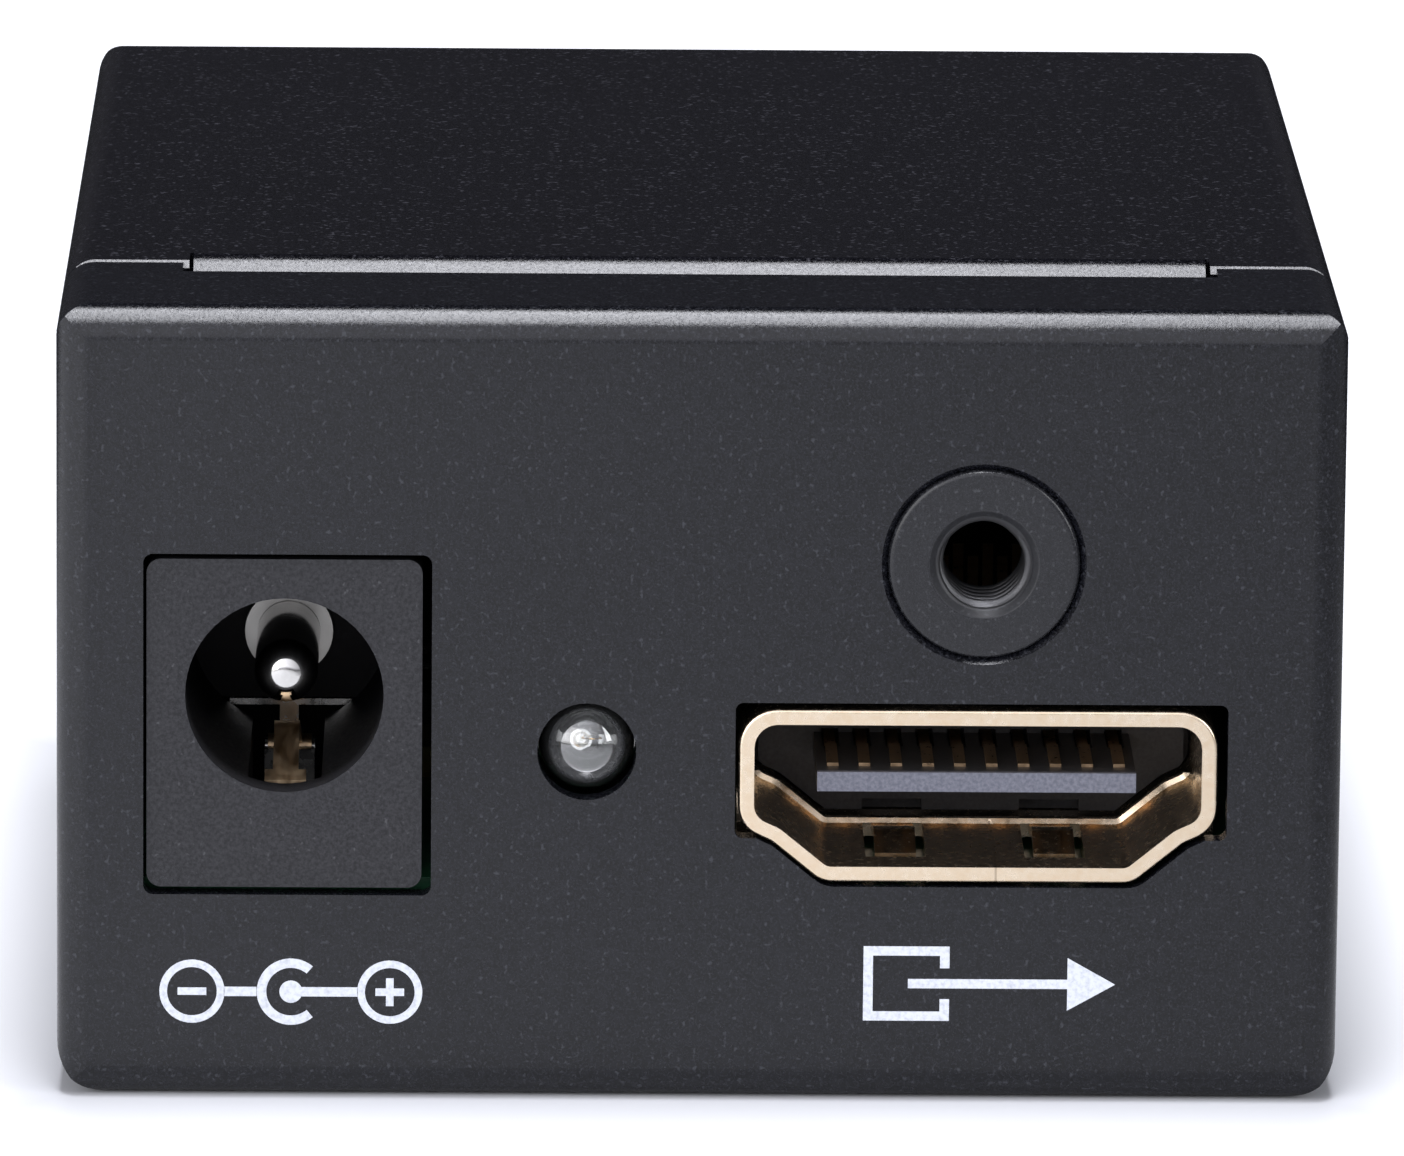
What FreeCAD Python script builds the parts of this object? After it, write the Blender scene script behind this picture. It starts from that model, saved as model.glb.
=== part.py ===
import FreeCAD, Part

import math
import os

from FreeCAD import Vector

# A signal repeater in a folded sheet-steel box. The output port, the power jack and the
# status light look out of the front, the input port out of the rear.
# Millimetres. X runs to the right seen from the front, Y to the rear, Z up.
# The origin is the middle of the underside.

# Box
width = 40.2
length = 47.0
height = 25.2
sheet = 0.8
bend_inside = 0.2
floor_bend_radius = 1.7
seam_gap = 0.1
fit_gap = 0.1

# Flange that closes over the other half, and the joggled tongue that slips under it
flange_depth = 7.6
flange_middle_depth = 6.2
flange_step_half = 16.3
flange_corner = 0.4
tongue_half = 16.0
tongue_reach = 5.6
floor_tongue_bend_at = 8.04
top_tongue_bend_at = 9.1
joggle_degrees = 35.0
relief_width = 0.12
relief_past_bend = 0.1
plate_edge_ease = (0.3, 0.2)

# Side tabs and the screws that hold the cover
tab_height = 17.0
tab_rear = 10.0
tab_front = -9.0
cover_screw_spacing = 11.0
cover_screw_mid_y = 0.5
cover_screw_z = 14.0
cover_screw_radius = 1.2
cover_screw_head_radius = 2.1
cover_screw_length = 3.6
screw_clearance = 0.05
recess_width = 0.45
recess_length = 1.9
recess_depth = 0.6

# Circuit board, its standoffs and its screws
board_top = 6.75
board_thickness = 1.6
board_side_gap = 0.6
board_end_gap = 0.8
board_shift = -0.1
standoff_radius = 2.3
standoff_shank_radius = 1.8
standoff_bore_radius = 1.25
standoff_inset = 3.2
standoff_left_from_rear = 10.8
standoff_left_from_front = 18.0
standoff_right_from_end = 15.5
board_hole_radius = 1.5
board_screw_radius = 1.2
board_screw_length = 5.0
board_screw_head_radius = 2.3
board_screw_head_height = 1.7
board_screw_room = 0.3

# Video port, with depths counted from its mouth
port_x = 8.82
port_rise = 3.05
port_recess = 0.1
mouth_width = 14.0
mouth_height = 4.55
shell_wall = 0.5
shell_depth = 10.9
mouth_knee_drop = 0.69
mouth_bend_half = 6.19
mouth_bend_drop = 1.06
mouth_floor_half = 4.7
mouth_corner = 0.75
mouth_knee_corner = 0.6
mouth_bend_corner = 1.2
mouth_floor_corner = 0.4
rim_round = 0.12
floor_back = 8.2
finger_front = 1.4
finger_back = 6.3
finger_slot_width = 1.9
finger_width = 1.3
finger_thickness = 0.3
finger_bump = 0.4
finger_spacing = 5.0
finger_tip_gap = 0.5
finger_root_lap = 0.3
finger_root_flat = 0.6
finger_crown = 1.2
lip_rise = 0.16
lip_run = 0.06
lip_length = 0.35
lip_over_knee = 0.1
leg_width = 1.2
leg_front = 2.4
leg_back = 8.3
leg_below_board = 0.7
leg_gap = 0.15

# Port insulator and its contacts
insulator_face = 6.8
insulator_shoulder = 8.0
insulator_back = 11.0
insulator_gap = 0.04
insulator_step = 0.25
finger_room = 0.6
blade_front = 1.2
blade_width = 10.0
blade_thickness = 0.62
blade_rise = 0.18
contact_pitch = 1.0
upper_contacts = 10
lower_contacts = 9
contact_width = 0.36
contact_thickness = 0.15
contact_proud = 0.1
contact_front = 2.06
contact_foot = 1.2
contact_dip = 0.25
contact_dip_start = 4.8
contact_dip_end = 5.2
contact_channel = 0.56
contact_channel_over = 0.12

# Cut-out round the port
port_cut_side = 0.2
port_cut_top = 0.22
port_cut_under = 0.12
port_cut_shoulder = 1.35
port_cut_corner = 0.25

# Lock nut above each port
lock_rise = 7.45
lock_thread_radius = 1.25
lock_mouth_radius = 1.7
lock_shank_radius = 3.0
lock_head_radius = 3.9
lock_head_height = 2.4
lock_edge = 0.18
lock_groove = 0.2
press_gap = 0.02

# Power jack, with depths counted from its face
jack_x = -12.87
jack_width = 8.6
jack_height = 10.5
jack_depth = 14.2
jack_recess = 0.2
jack_corner = 0.45
jack_face_depth = 3.4
jack_body_width = 7.8
jack_axis_height = 6.15
jack_body_over_axis = 3.9
jack_body_shoulder = 3.5
barrel_radius = 3.1
barrel_depth = 9.7
pin_radius = 1.0
pin_tip = 2.76
pin_tip_round = 0.85
pin_collar_radius = 1.4
pin_collar_length = 0.5
jack_cut_gap = 0.2
jack_cut_corner = 0.3
channel_width = 2.3
channel_front = 1.2
channel_back = 12.6
channel_floor = 0.7
channel_into_barrel = 0.85
rear_room_half = 2.2

# Sleeve spring of the jack, heights from the board
spring_width = 0.8
spring_eye_width = 1.4
spring_toe_width = 1.3
spring_toe_length = 0.9
spring_thickness = 0.3
spring_pivot_depth = 11.4
spring_pivot_height = 1.9
spring_eye_radius = 0.4
spring_bump_depth = 5.6
spring_bump_height = 4.1
spring_tip_depth = 1.9
spring_tip_height = 3.0
spring_toe = 0.5
spring_bump_radius = 1.4
spring_toe_radius = 0.6
saddle_gap = 0.05
saddle_wall = 0.4
saddle_over_pivot = 0.08
tail_lap = 0.2
tail_width = 1.6
tail_thickness = 0.4
tail_below_board = 1.2
switch_depth = 10.35
switch_width = 0.8
switch_gap = 0.12
switch_thickness = 0.2
switch_arm_height = 3.58
switch_arm_reach = 1.9
switch_nib_width = 0.6
switch_nib_length = 0.4

# Status light
light_x = -3.42
light_rise = 4.45
lens_radius = 1.5
lens_length = 5.0
lens_recess = 0.1
lens_flange_radius = 1.85
lens_flange_length = 0.9
light_hole_gap = 0.05
lead_size = 0.5
lead_pitch = 2.54
lead_run = 1.6
lead_inside = 2.6
lead_below_board = 0.9
lead_bend_inside = 0.2
lead_bend_outside = 0.6
anvil_radius = 0.55
anvil_length = 0.8
cup_radius = 0.41
cup_floor_radius = 0.25
cup_depth = 0.3
post_length = 0.64
post_reach = 0.65

# Parts on the board: width in X, length in Y, height
equalizer_size = (7.0, 7.0, 0.9)
equalizer_edge = 0.05
equalizer_from_port = 1.8
shifter_size = (3.9, 4.9, 1.4)
chip_edge = 0.2
shifter_pins = 4
shifter_pin_pitch = 1.27
regulator_size = (3.5, 6.5, 1.6)
regulator_pin_pitch = 2.3
pin_reach = 1.0
pin_shoulder = 0.45
pin_lift = 0.5
pin_thickness = 0.25
pin_width = 0.45
tab_pin_width = 3.0
regulator_pin_width = 0.72
fuse_size = (4.5, 3.2, 1.0)
diode_size = (4.3, 2.6, 2.1)
diode_edge = 0.3
can_radius = 3.15
can_height = 5.8
can_base = 6.6
can_base_height = 1.2
can_edge = 0.4
can_margin = 1.3
part_gap = 1.0
power_column_from_jack = 5.27
chip_capacitor_size = (1.6, 0.8, 0.8)
chip_capacitor_count = 6
chip_capacitor_pitch = 2.4
chip_capacitor_from_port = 7.2
chip_resistor_size = (1.0, 0.5, 0.35)
chip_resistor_columns = 8
chip_resistor_pitch = 1.1
chip_resistor_row_y = 4.9
surge_array_size = (2.5, 1.0, 0.55)
surge_array_columns = 3
surge_array_pitch = 3.4
surge_array_from_port = 3.0

# Values worked out from the sizes above
front = -length / 2
rear = length / 2
half = width / 2
bend_radius = sheet + bend_inside
board_bottom = board_top - board_thickness
board_half = half - sheet - fit_gap - sheet - board_side_gap
board_front = front + sheet + board_end_gap
board_rear = rear - sheet - board_end_gap
standoff_x = board_half - standoff_inset
standoff_places = [
    (-standoff_x, front + standoff_left_from_front),
    (-standoff_x, rear - standoff_left_from_rear),
    (standoff_x, front + standoff_right_from_end),
    (standoff_x, rear - standoff_right_from_end),
]
lap_drop = sheet + seam_gap
port_z = board_top + port_rise
light_z = board_top + light_rise
lock_z = port_z + lock_rise
jack_axis_z = board_top + jack_axis_height
blade_top = blade_rise + blade_thickness / 2
blade_bottom = blade_rise - blade_thickness / 2
equalizer_x = port_x - equalizer_from_port
equalizer_place = (equalizer_x, 0.0)
surge_array_y = rear - port_recess - insulator_back - contact_foot - part_gap - surge_array_size[1] / 2
power_x = jack_x + power_column_from_jack
fuse_y = front + jack_recess + jack_depth + part_gap + fuse_size[1] / 2
diode_y = fuse_y + fuse_size[1] / 2 + part_gap + diode_size[1] / 2
regulator_y = diode_y + diode_size[1] / 2 + part_gap + regulator_size[1] / 2
shifter_y = regulator_y + regulator_size[1] / 2 + part_gap + shifter_size[1] / 2
fuse_place = (power_x, fuse_y)
diode_place = (power_x, diode_y)
can_place = (-board_half + can_margin + can_base / 2, (standoff_places[0][1] + standoff_places[1][1]) / 2)
chip_column_x = can_place[0] + can_base / 2 + part_gap + pin_reach + shifter_size[0] / 2
regulator_place = (chip_column_x, regulator_y)
shifter_place = (chip_column_x, shifter_y)


def box(x0, x1, y0, y1, z0, z1):
    return Part.makeBox(x1 - x0, y1 - y0, z1 - z0, Vector(x0, y0, z0))


def rod(radius, start, end):
    run = end - start
    return Part.makeCylinder(radius, run.Length, start, run)


def cone(radius_start, radius_end, start, end):
    run = end - start
    return Part.makeCone(radius_start, radius_end, run.Length, start, run)


def rounded_face(corners, place):
    """A flat face through corners (u, v, corner radius), put in space by place(u, v)."""
    edges = []
    count = len(corners)
    stops = []
    for i in range(count):
        u, v, radius = corners[i]
        before = corners[i - 1]
        after = corners[(i + 1) % count]
        into = Vector(u - before[0], v - before[1], 0).normalize()
        out = Vector(after[0] - u, after[1] - v, 0).normalize()
        here = Vector(u, v, 0)
        turn = into.getAngle(out)
        if radius == 0 or turn < 1e-6:
            stops.append((here, here, None))
            continue
        trim = radius * math.tan(turn / 2)
        inward = (out - into).normalize()
        middle = here + inward * (radius / math.cos(turn / 2) - radius)
        stops.append((here - into * trim, here + out * trim, middle))
    for i in range(count):
        start, end, middle = stops[i]
        last = stops[i - 1][1]
        if (start - last).Length > 1e-6:
            edges.append(Part.makeLine(place(last.x, last.y), place(start.x, start.y)))
        if middle is not None:
            arc = Part.Arc(place(start.x, start.y), place(middle.x, middle.y), place(end.x, end.y))
            edges.append(arc.toShape())
    return Part.Face(Part.Wire(edges))


def profile_along_x(corners, x0, x1):
    """Corners are (y, z, radius)."""
    face = rounded_face(corners, lambda u, v: Vector(x0, u, v))
    return face.extrude(Vector(x1 - x0, 0, 0))


def profile_along_y(corners, y0, y1):
    """Corners are (x, z, radius)."""
    face = rounded_face(corners, lambda u, v: Vector(u, y0, v))
    return face.extrude(Vector(0, y1 - y0, 0))


def rounded_box(x0, x1, y0, y1, z0, z1, radius, axes):
    """A block whose edges along each named axis are rounded, as bends leave them."""
    shape = box(x0, x1, y0, y1, z0, z1)
    for axis in axes:
        block = box(x0, x1, y0, y1, z0, z1)
        along = []
        for edge in block.Edges:
            run = edge.Vertexes[1].Point - edge.Vertexes[0].Point
            if abs(getattr(run, axis)) > 1e-6:
                along.append(edge)
        shape = shape.common(block.makeFillet(radius, along))
    return shape


def turned_over(shape):
    """The same piece turned half a turn about the box's long middle line across X."""
    turned = shape.copy()
    turned.rotate(Vector(0, 0, height / 2), Vector(1, 0, 0), 180)
    return turned


def facing_rear(shape):
    """The same piece turned half a turn about the upright line through the port."""
    turned = shape.copy()
    turned.rotate(Vector(port_x + board_shift, 0, 0), Vector(0, 0, 1), 180)
    return turned


def end_pan(run, side_radius):
    """End panel, floor and side walls to the depth run, with the flange folded over the top."""
    past = bend_radius + floor_bend_radius
    outer = rounded_box(-half, half, front, front + run + past, 0, height + past,
                        bend_radius, ("x", "z"))
    outer = outer.common(rounded_box(-half, half, front, front + run + past, 0, height + past,
                                     side_radius, ("y",)))
    inner = rounded_box(-half + sheet, half - sheet, front + sheet, front + run + past + 1,
                        sheet, height + past + 1, bend_inside, ("x", "z"))
    inner = inner.common(rounded_box(-half + sheet, half - sheet, front + sheet,
                                     front + run + past + 1, sheet, height + past + 1,
                                     side_radius - sheet, ("y",)))
    pan = outer.cut(inner).common(box(-half, half, front, front + run, 0, height))
    lid_room = box(-half, half, front, front + flange_depth + seam_gap, height - bend_radius, height)
    pan = pan.cut(lid_room)

    over_outer = rounded_box(-half, half, front, front + flange_depth + past, -past, height,
                             bend_radius, ("x", "y", "z"))
    over_inner = rounded_box(-half - 1, half + 1, front + sheet, front + flange_depth + past + 1,
                             -past - 1, height - sheet, bend_inside, ("x",))
    strip = box(-half, half, front, front + flange_depth, height - bend_radius, height)
    flange = over_outer.cut(over_inner).common(strip)
    flange = flange.common(rounded_box(-half, half, front - past, front + flange_depth, 0, height + 1,
                                       flange_corner, ("z",)))
    set_back = box(-flange_step_half, flange_step_half, front + flange_middle_depth,
                   front + flange_depth, height - bend_radius, height)
    return pan.fuse(flange.cut(set_back)).removeSplitter()


def joggled_tongue(from_end):
    """Far end of the floor: it steps up by one sheet and runs on over the other half's flange."""
    slope = math.radians(joggle_degrees)
    bend_tangent = rear - from_end
    bend_at = bend_tangent + bend_radius * math.tan(slope / 2)
    step_at = bend_at + lap_drop / math.tan(slope)
    shift = sheet * math.tan(slope / 2)
    tip = rear - flange_depth + tongue_reach
    start = bend_tangent - 1.0
    corners = [
        (start, 0, 0),
        (bend_at, 0, bend_radius),
        (step_at, lap_drop, bend_inside),
        (tip, lap_drop, 0),
        (tip, lap_drop + sheet, 0),
        (step_at - shift, lap_drop + sheet, bend_radius),
        (bend_at - shift, sheet, bend_inside),
        (start, sheet, 0),
    ]
    return profile_along_x(corners, -tongue_half, tongue_half)


def tongue_reliefs(from_end):
    """Slots each side of the tongue, and the room in front of the step."""
    edge = rear - flange_depth - seam_gap
    back = rear - from_end
    cuts = box(-tongue_half, tongue_half, back, rear, -1, sheet + 1)
    for side in (-1, 1):
        inner = side * tongue_half
        outer = side * (tongue_half + relief_width)
        slot = box(min(inner, outer), max(inner, outer), back - relief_past_bend, rear, -1, sheet + 1)
        cuts = cuts.fuse(slot)
    run, drop = plate_edge_ease
    eased = profile_along_x([(edge - run, 0, 0), (edge - run, -1, 0), (edge + 1, -1, 0),
                             (edge + 1, drop, 0), (edge, drop, 0)], -half, half)
    return cuts.fuse(eased)


def moved_out(corners, grow):
    """The same outline with every side moved out by grow; it runs clockwise, bends follow."""
    count = len(corners)
    moved = []
    for i in range(count):
        u, v, radius = corners[i]
        before = corners[i - 1]
        after = corners[(i + 1) % count]
        into = Vector(u - before[0], v - before[1], 0).normalize()
        out = Vector(after[0] - u, after[1] - v, 0).normalize()
        normal = Vector(-into.y, into.x, 0) + Vector(-out.y, out.x, 0)
        turn = into.getAngle(out)
        reach = grow / math.cos(turn / 2)
        shift = normal.normalize() * reach
        clockwise = into.cross(out).z < 0
        moved.append((u + shift.x, v + shift.y, radius + grow if clockwise else radius - grow))
    return moved


def mouth_corners(grow):
    """Outline of the port's mouth about its middle, every wall moved out by grow."""
    top = mouth_height / 2
    side = mouth_width / 2
    right = [
        (side, top, mouth_corner),
        (side, -mouth_knee_drop, mouth_knee_corner),
        (mouth_bend_half, -mouth_bend_drop, mouth_bend_corner),
        (mouth_floor_half, -top, mouth_floor_corner),
    ]
    left = [(-x, z, radius) for x, z, radius in reversed(right)]
    return moved_out(right + left, grow)


def mouth_prism(grow, y0, y1, x, z):
    corners = [(x + u, z + v, radius) for u, v, radius in mouth_corners(grow)]
    return profile_along_y(corners, y0, y1)


def mouth_wire(grow, y, x, z):
    corners = [(x + u, z + v, radius) for u, v, radius in mouth_corners(grow)]
    return rounded_face(corners, lambda u, v: Vector(u, y, v)).OuterWire


def port_cutout(y0, y1):
    """Panel opening: square-cornered above, and below it follows the slopes of the shell."""
    reach = mouth_width / 2 + shell_wall + port_cut_side
    top = port_z + mouth_height / 2 + shell_wall + port_cut_top
    shoulder = port_z - port_cut_shoulder
    square = profile_along_y([
        (port_x - reach, shoulder, port_cut_corner),
        (port_x + reach, shoulder, port_cut_corner),
        (port_x + reach, top, port_cut_corner),
        (port_x - reach, top, port_cut_corner),
    ], y0, y1)
    return square.fuse(mouth_prism(shell_wall + port_cut_under, y0, y1, port_x, port_z))


def lock_hole(panel_y, inward):
    """Hole for the lock nut's shank, its outside edge opened to a groove."""
    start = Vector(port_x, panel_y, lock_z)
    through = rod(lock_shank_radius + press_gap, start - inward, start + inward * (sheet + 1))
    groove = cone(lock_shank_radius + lock_groove, lock_shank_radius + press_gap,
                  start, start + inward * lock_groove)
    return through.fuse(groove)


def side_screw_places():
    spread = cover_screw_spacing / 2
    return [cover_screw_mid_y - spread, cover_screw_mid_y + spread]


def side_tab(body, side, edge):
    """Swaps a stretch of the floor's edge for a tab folded up inside the cover's wall."""
    fold = edge - bend_radius
    strip = sorted((side * fold, side * (edge + 1)))
    body = body.cut(box(strip[0], strip[1], tab_front, tab_rear, -1, sheet + 1))
    corners = [
        (side * fold, 0, 0),
        (side * edge, 0, bend_radius),
        (side * edge, tab_height, 0),
        (side * (edge - sheet), tab_height, 0),
        (side * (edge - sheet), sheet, bend_inside),
        (side * fold, sheet, 0),
    ]
    return body.fuse(profile_along_y(corners, tab_front, tab_rear))


def lower_chassis():
    pan = end_pan(flange_depth, floor_bend_radius)
    inner_half = half - sheet - fit_gap
    plate_end = rear - flange_depth - seam_gap
    plate = box(-inner_half, inner_half, front + flange_depth, plate_end, 0, sheet)
    plate = plate.cut(tongue_reliefs(floor_tongue_bend_at))
    body = pan.fuse(plate).fuse(joggled_tongue(floor_tongue_bend_at))
    for side in (-1, 1):
        body = side_tab(body, side, inner_half)
    for y in side_screw_places():
        body = body.cut(rod(cover_screw_radius + screw_clearance,
                            Vector(-half, y, cover_screw_z), Vector(half, y, cover_screw_z)))
    for x, y in standoff_places:
        body = body.cut(rod(standoff_shank_radius + press_gap, Vector(x, y, -1),
                            Vector(x, y, sheet + 1)))
    body = body.cut(port_cutout(front - 1, front + sheet + 1))
    body = body.cut(lock_hole(front, Vector(0, 1, 0)))
    body = body.cut(jack_cutout())
    body = body.cut(rod(lens_radius + light_hole_gap, Vector(light_x + board_shift, front - 1, light_z),
                        Vector(light_x + board_shift, front + sheet + 1, light_z)))
    return body.removeSplitter()


def upper_cover():
    run = length - flange_depth - seam_gap
    pan = end_pan(run, bend_radius)
    pan = pan.cut(tongue_reliefs(top_tongue_bend_at))
    cover = turned_over(pan.fuse(joggled_tongue(top_tongue_bend_at)))
    cover = cover.cut(port_cutout(rear - sheet - 1, rear + 1))
    cover = cover.cut(lock_hole(rear, Vector(0, -1, 0)))
    for y in side_screw_places():
        for side in (-1, 1):
            outside = Vector(side * half, y, cover_screw_z)
            inside = Vector(side * (half - sheet - fit_gap), y, cover_screw_z)
            sink = cone(cover_screw_head_radius + screw_clearance,
                        cover_screw_radius + screw_clearance, outside, inside)
            cover = cover.cut(sink)
    return cover.removeSplitter()


def cross_recess(centre, axis, across_a, across_b):
    """A plus-shaped driver recess cut into a screw head whose outside face is at centre."""
    arms = []
    for a, b in ((across_a, across_b), (across_b, across_a)):
        reach = a * (recess_length / 2) + b * (recess_width / 2)
        low = centre - reach
        high = centre + reach - axis * recess_depth
        arms.append(box(min(low.x, high.x), max(low.x, high.x), min(low.y, high.y),
                        max(low.y, high.y), min(low.z, high.z), max(low.z, high.z)))
    return arms[0].fuse(arms[1])


def cover_screws():
    screws = []
    for side in (-1, 1):
        outward = Vector(side, 0, 0)
        for y in side_screw_places():
            face = Vector(side * half, y, cover_screw_z)
            neck = Vector(side * (half - sheet - fit_gap), y, cover_screw_z)
            tip = face - outward * cover_screw_length
            screw = cone(cover_screw_head_radius, cover_screw_radius, face, neck)
            screw = screw.fuse(rod(cover_screw_radius, neck, tip)).removeSplitter()
            screws.append(screw.cut(cross_recess(face, outward, Vector(0, 1, 0), Vector(0, 0, 1))))
    return Part.makeCompound(screws)


def hexagon(x, y, z, flat_radius):
    corner = flat_radius / math.cos(math.pi / 6)
    points = []
    for i in range(7):
        angle = math.pi / 3 * i
        points.append(Vector(x + corner * math.cos(angle), y + corner * math.sin(angle), z))
    return points


def board_standoffs():
    posts = []
    for x, y in standoff_places:
        post = Part.Face(Part.makePolygon(hexagon(x, y, sheet, standoff_radius)))
        post = post.extrude(Vector(0, 0, board_bottom - sheet))
        post = post.fuse(rod(standoff_shank_radius, Vector(x, y, 0), Vector(x, y, sheet)))
        bore_floor = board_top - board_screw_length - board_screw_room
        bore = rod(standoff_bore_radius, Vector(x, y, bore_floor), Vector(x, y, board_bottom))
        posts.append(post.removeSplitter().cut(bore))
    return Part.makeCompound(posts)


def board_screws():
    screws = []
    up = Vector(0, 0, 1)
    for x, y in standoff_places:
        seat = Vector(x, y, board_top)
        top = seat + up * board_screw_head_height
        head = rod(board_screw_head_radius, seat, top)
        screw = head.fuse(rod(board_screw_radius, seat, seat - up * board_screw_length))
        screws.append(screw.cut(cross_recess(top, up, Vector(1, 0, 0), Vector(0, 1, 0))))
    return Part.makeCompound(screws)


def place_port_box(x0, x1, d0, d1, h0, h1):
    """A block in the output port's own measures: across, depth from the mouth, height."""
    x = port_x + board_shift
    y = front + port_recess
    return box(x + x0, x + x1, y + d0, y + d1, port_z + h0, port_z + h1)


def leg_centres():
    side = mouth_width / 2 + shell_wall / 2
    depths = (leg_front + leg_width / 2, leg_back + leg_width / 2)
    return [(sign * side, depth) for sign in (-1, 1) for depth in depths]


def main_board():
    board = box(-board_half + board_shift, board_half + board_shift, board_front, board_rear,
                board_bottom, board_top)
    for x, y in standoff_places:
        board = board.cut(rod(board_hole_radius, Vector(x, y, 0), Vector(x, y, board_top + 1)))
    slots = []
    for x, depth in leg_centres():
        across = shell_wall / 2 + leg_gap
        along = leg_width / 2 + leg_gap
        slots.append(place_port_box(x - across, x + across, depth - along, depth + along,
                                    -port_rise - board_thickness - 1, 0))
    for slot in slots:
        board = board.cut(slot)
        board = board.cut(facing_rear(slot))
    for tail in jack_tails() + light_tails():
        board = board.cut(tail)
    return board


def finger_profile(wall, into):
    """Side outline of a spring finger that dips into the mouth; wall is the wall's inside."""
    rise = into * finger_bump
    thick = into * finger_thickness
    peak = (finger_front + finger_back) / 2
    free = finger_front + finger_tip_gap
    bend = finger_back - finger_root_flat
    root = finger_back + finger_root_lap
    return [
        (free, wall - thick, 0),
        (peak, wall + rise - thick, finger_crown),
        (bend, wall - thick, finger_crown / 2),
        (root, wall - thick, 0),
        (root, wall, 0),
        (bend, wall, finger_crown / 2),
        (peak, wall + rise, finger_crown),
        (free, wall, 0),
    ]


def shell_lip():
    """Low bead across the floor and slopes of the mouth, leaning back, at its far end."""
    x = port_x + board_shift
    back = front + port_recess + finger_back
    start = back - lip_length
    crest = start + lip_run
    bead = mouth_prism(0, start, back, x, port_z)
    ramp = Part.makeLoft([mouth_wire(0, start, x, port_z), mouth_wire(-lip_rise, crest, x, port_z)], True)
    bead = bead.cut(ramp).cut(mouth_prism(-lip_rise, crest, back + 1, x, port_z))
    return bead.common(place_port_box(-mouth_width, mouth_width, 0, shell_depth,
                                      -mouth_height, -mouth_knee_drop + lip_over_knee))


def port_shell():
    x = port_x + board_shift
    mouth = front + port_recess
    outer = mouth_prism(shell_wall, mouth, mouth + shell_depth, x, port_z)
    rim = [edge for edge in outer.Edges if edge.BoundBox.YMax < mouth + 0.01]
    outer = outer.makeFillet(rim_round, rim)
    inner = mouth_prism(0, mouth - 1, mouth + shell_depth + 1, x, port_z)
    shell = outer.cut(inner).fuse(shell_lip())
    shell = shell.cut(place_port_box(-mouth_floor_half, mouth_floor_half, floor_back,
                                     shell_depth + 1, -mouth_height, -mouth_height / 2 + 0.01))
    for side in (-1, 1):
        centre = side * finger_spacing / 2
        slot_low = centre - finger_slot_width / 2
        slot_high = centre + finger_slot_width / 2
        for wall, into, h0, h1 in (
            (-mouth_height / 2, 1, -mouth_height, -mouth_height / 2 + 0.01),
            (mouth_height / 2, -1, mouth_height / 2 - 0.01, mouth_height),
        ):
            shell = shell.cut(place_port_box(slot_low, slot_high, finger_front, finger_back, h0, h1))
            corners = [(mouth + d, port_z + h, radius) for d, h, radius in finger_profile(wall, into)]
            finger = profile_along_x(corners, x + centre - finger_width / 2,
                                     x + centre + finger_width / 2)
            shell = shell.fuse(finger)
    for across, depth in leg_centres():
        leg = place_port_box(across - shell_wall / 2, across + shell_wall / 2,
                             depth - leg_width / 2, depth + leg_width / 2,
                             -port_rise - board_thickness - leg_below_board, 0)
        shell = shell.fuse(leg)
    return shell.removeSplitter()


def port_contacts(count, top, dip):
    """A row of flat contacts: along the blade, through the insulator, down its back to the board."""
    x = port_x + board_shift
    mouth = front + port_recess
    back = insulator_back
    low = top - contact_thickness
    foot = -port_rise
    corners = [
        (contact_front, low),
        (contact_dip_start, low),
        (contact_dip_end, low - dip),
        (back, low - dip),
        (back, foot),
        (back + contact_foot, foot),
        (back + contact_foot, foot + contact_thickness),
        (back + contact_thickness, foot + contact_thickness),
        (back + contact_thickness, top - dip),
        (contact_dip_end, top - dip),
        (contact_dip_start, top),
        (contact_front, top),
    ]
    outline = [(mouth + depth, port_z + rise, 0) for depth, rise in corners]
    contacts = []
    for i in range(count):
        left = x + (i - (count - 1) / 2) * contact_pitch - contact_width / 2
        contacts.append(profile_along_x(outline, left, left + contact_width))
    return Part.makeCompound(contacts)


def port_upper_contacts():
    return port_contacts(upper_contacts, blade_top + contact_proud, contact_dip)


def port_lower_contacts():
    return port_contacts(lower_contacts, blade_bottom - contact_proud + contact_thickness, 0)


def upper_contact_channels():
    """Open channels at the root of the blade, where the upper contacts dip into it."""
    floor = blade_top + contact_proud - contact_thickness - contact_dip
    channels = []
    for i in range(upper_contacts):
        middle = (i - (upper_contacts - 1) / 2) * contact_pitch
        channels.append(place_port_box(middle - contact_channel / 2, middle + contact_channel / 2,
                                       contact_dip_start, insulator_shoulder, floor,
                                       blade_top + contact_channel_over))
    return Part.makeCompound(channels)


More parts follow.
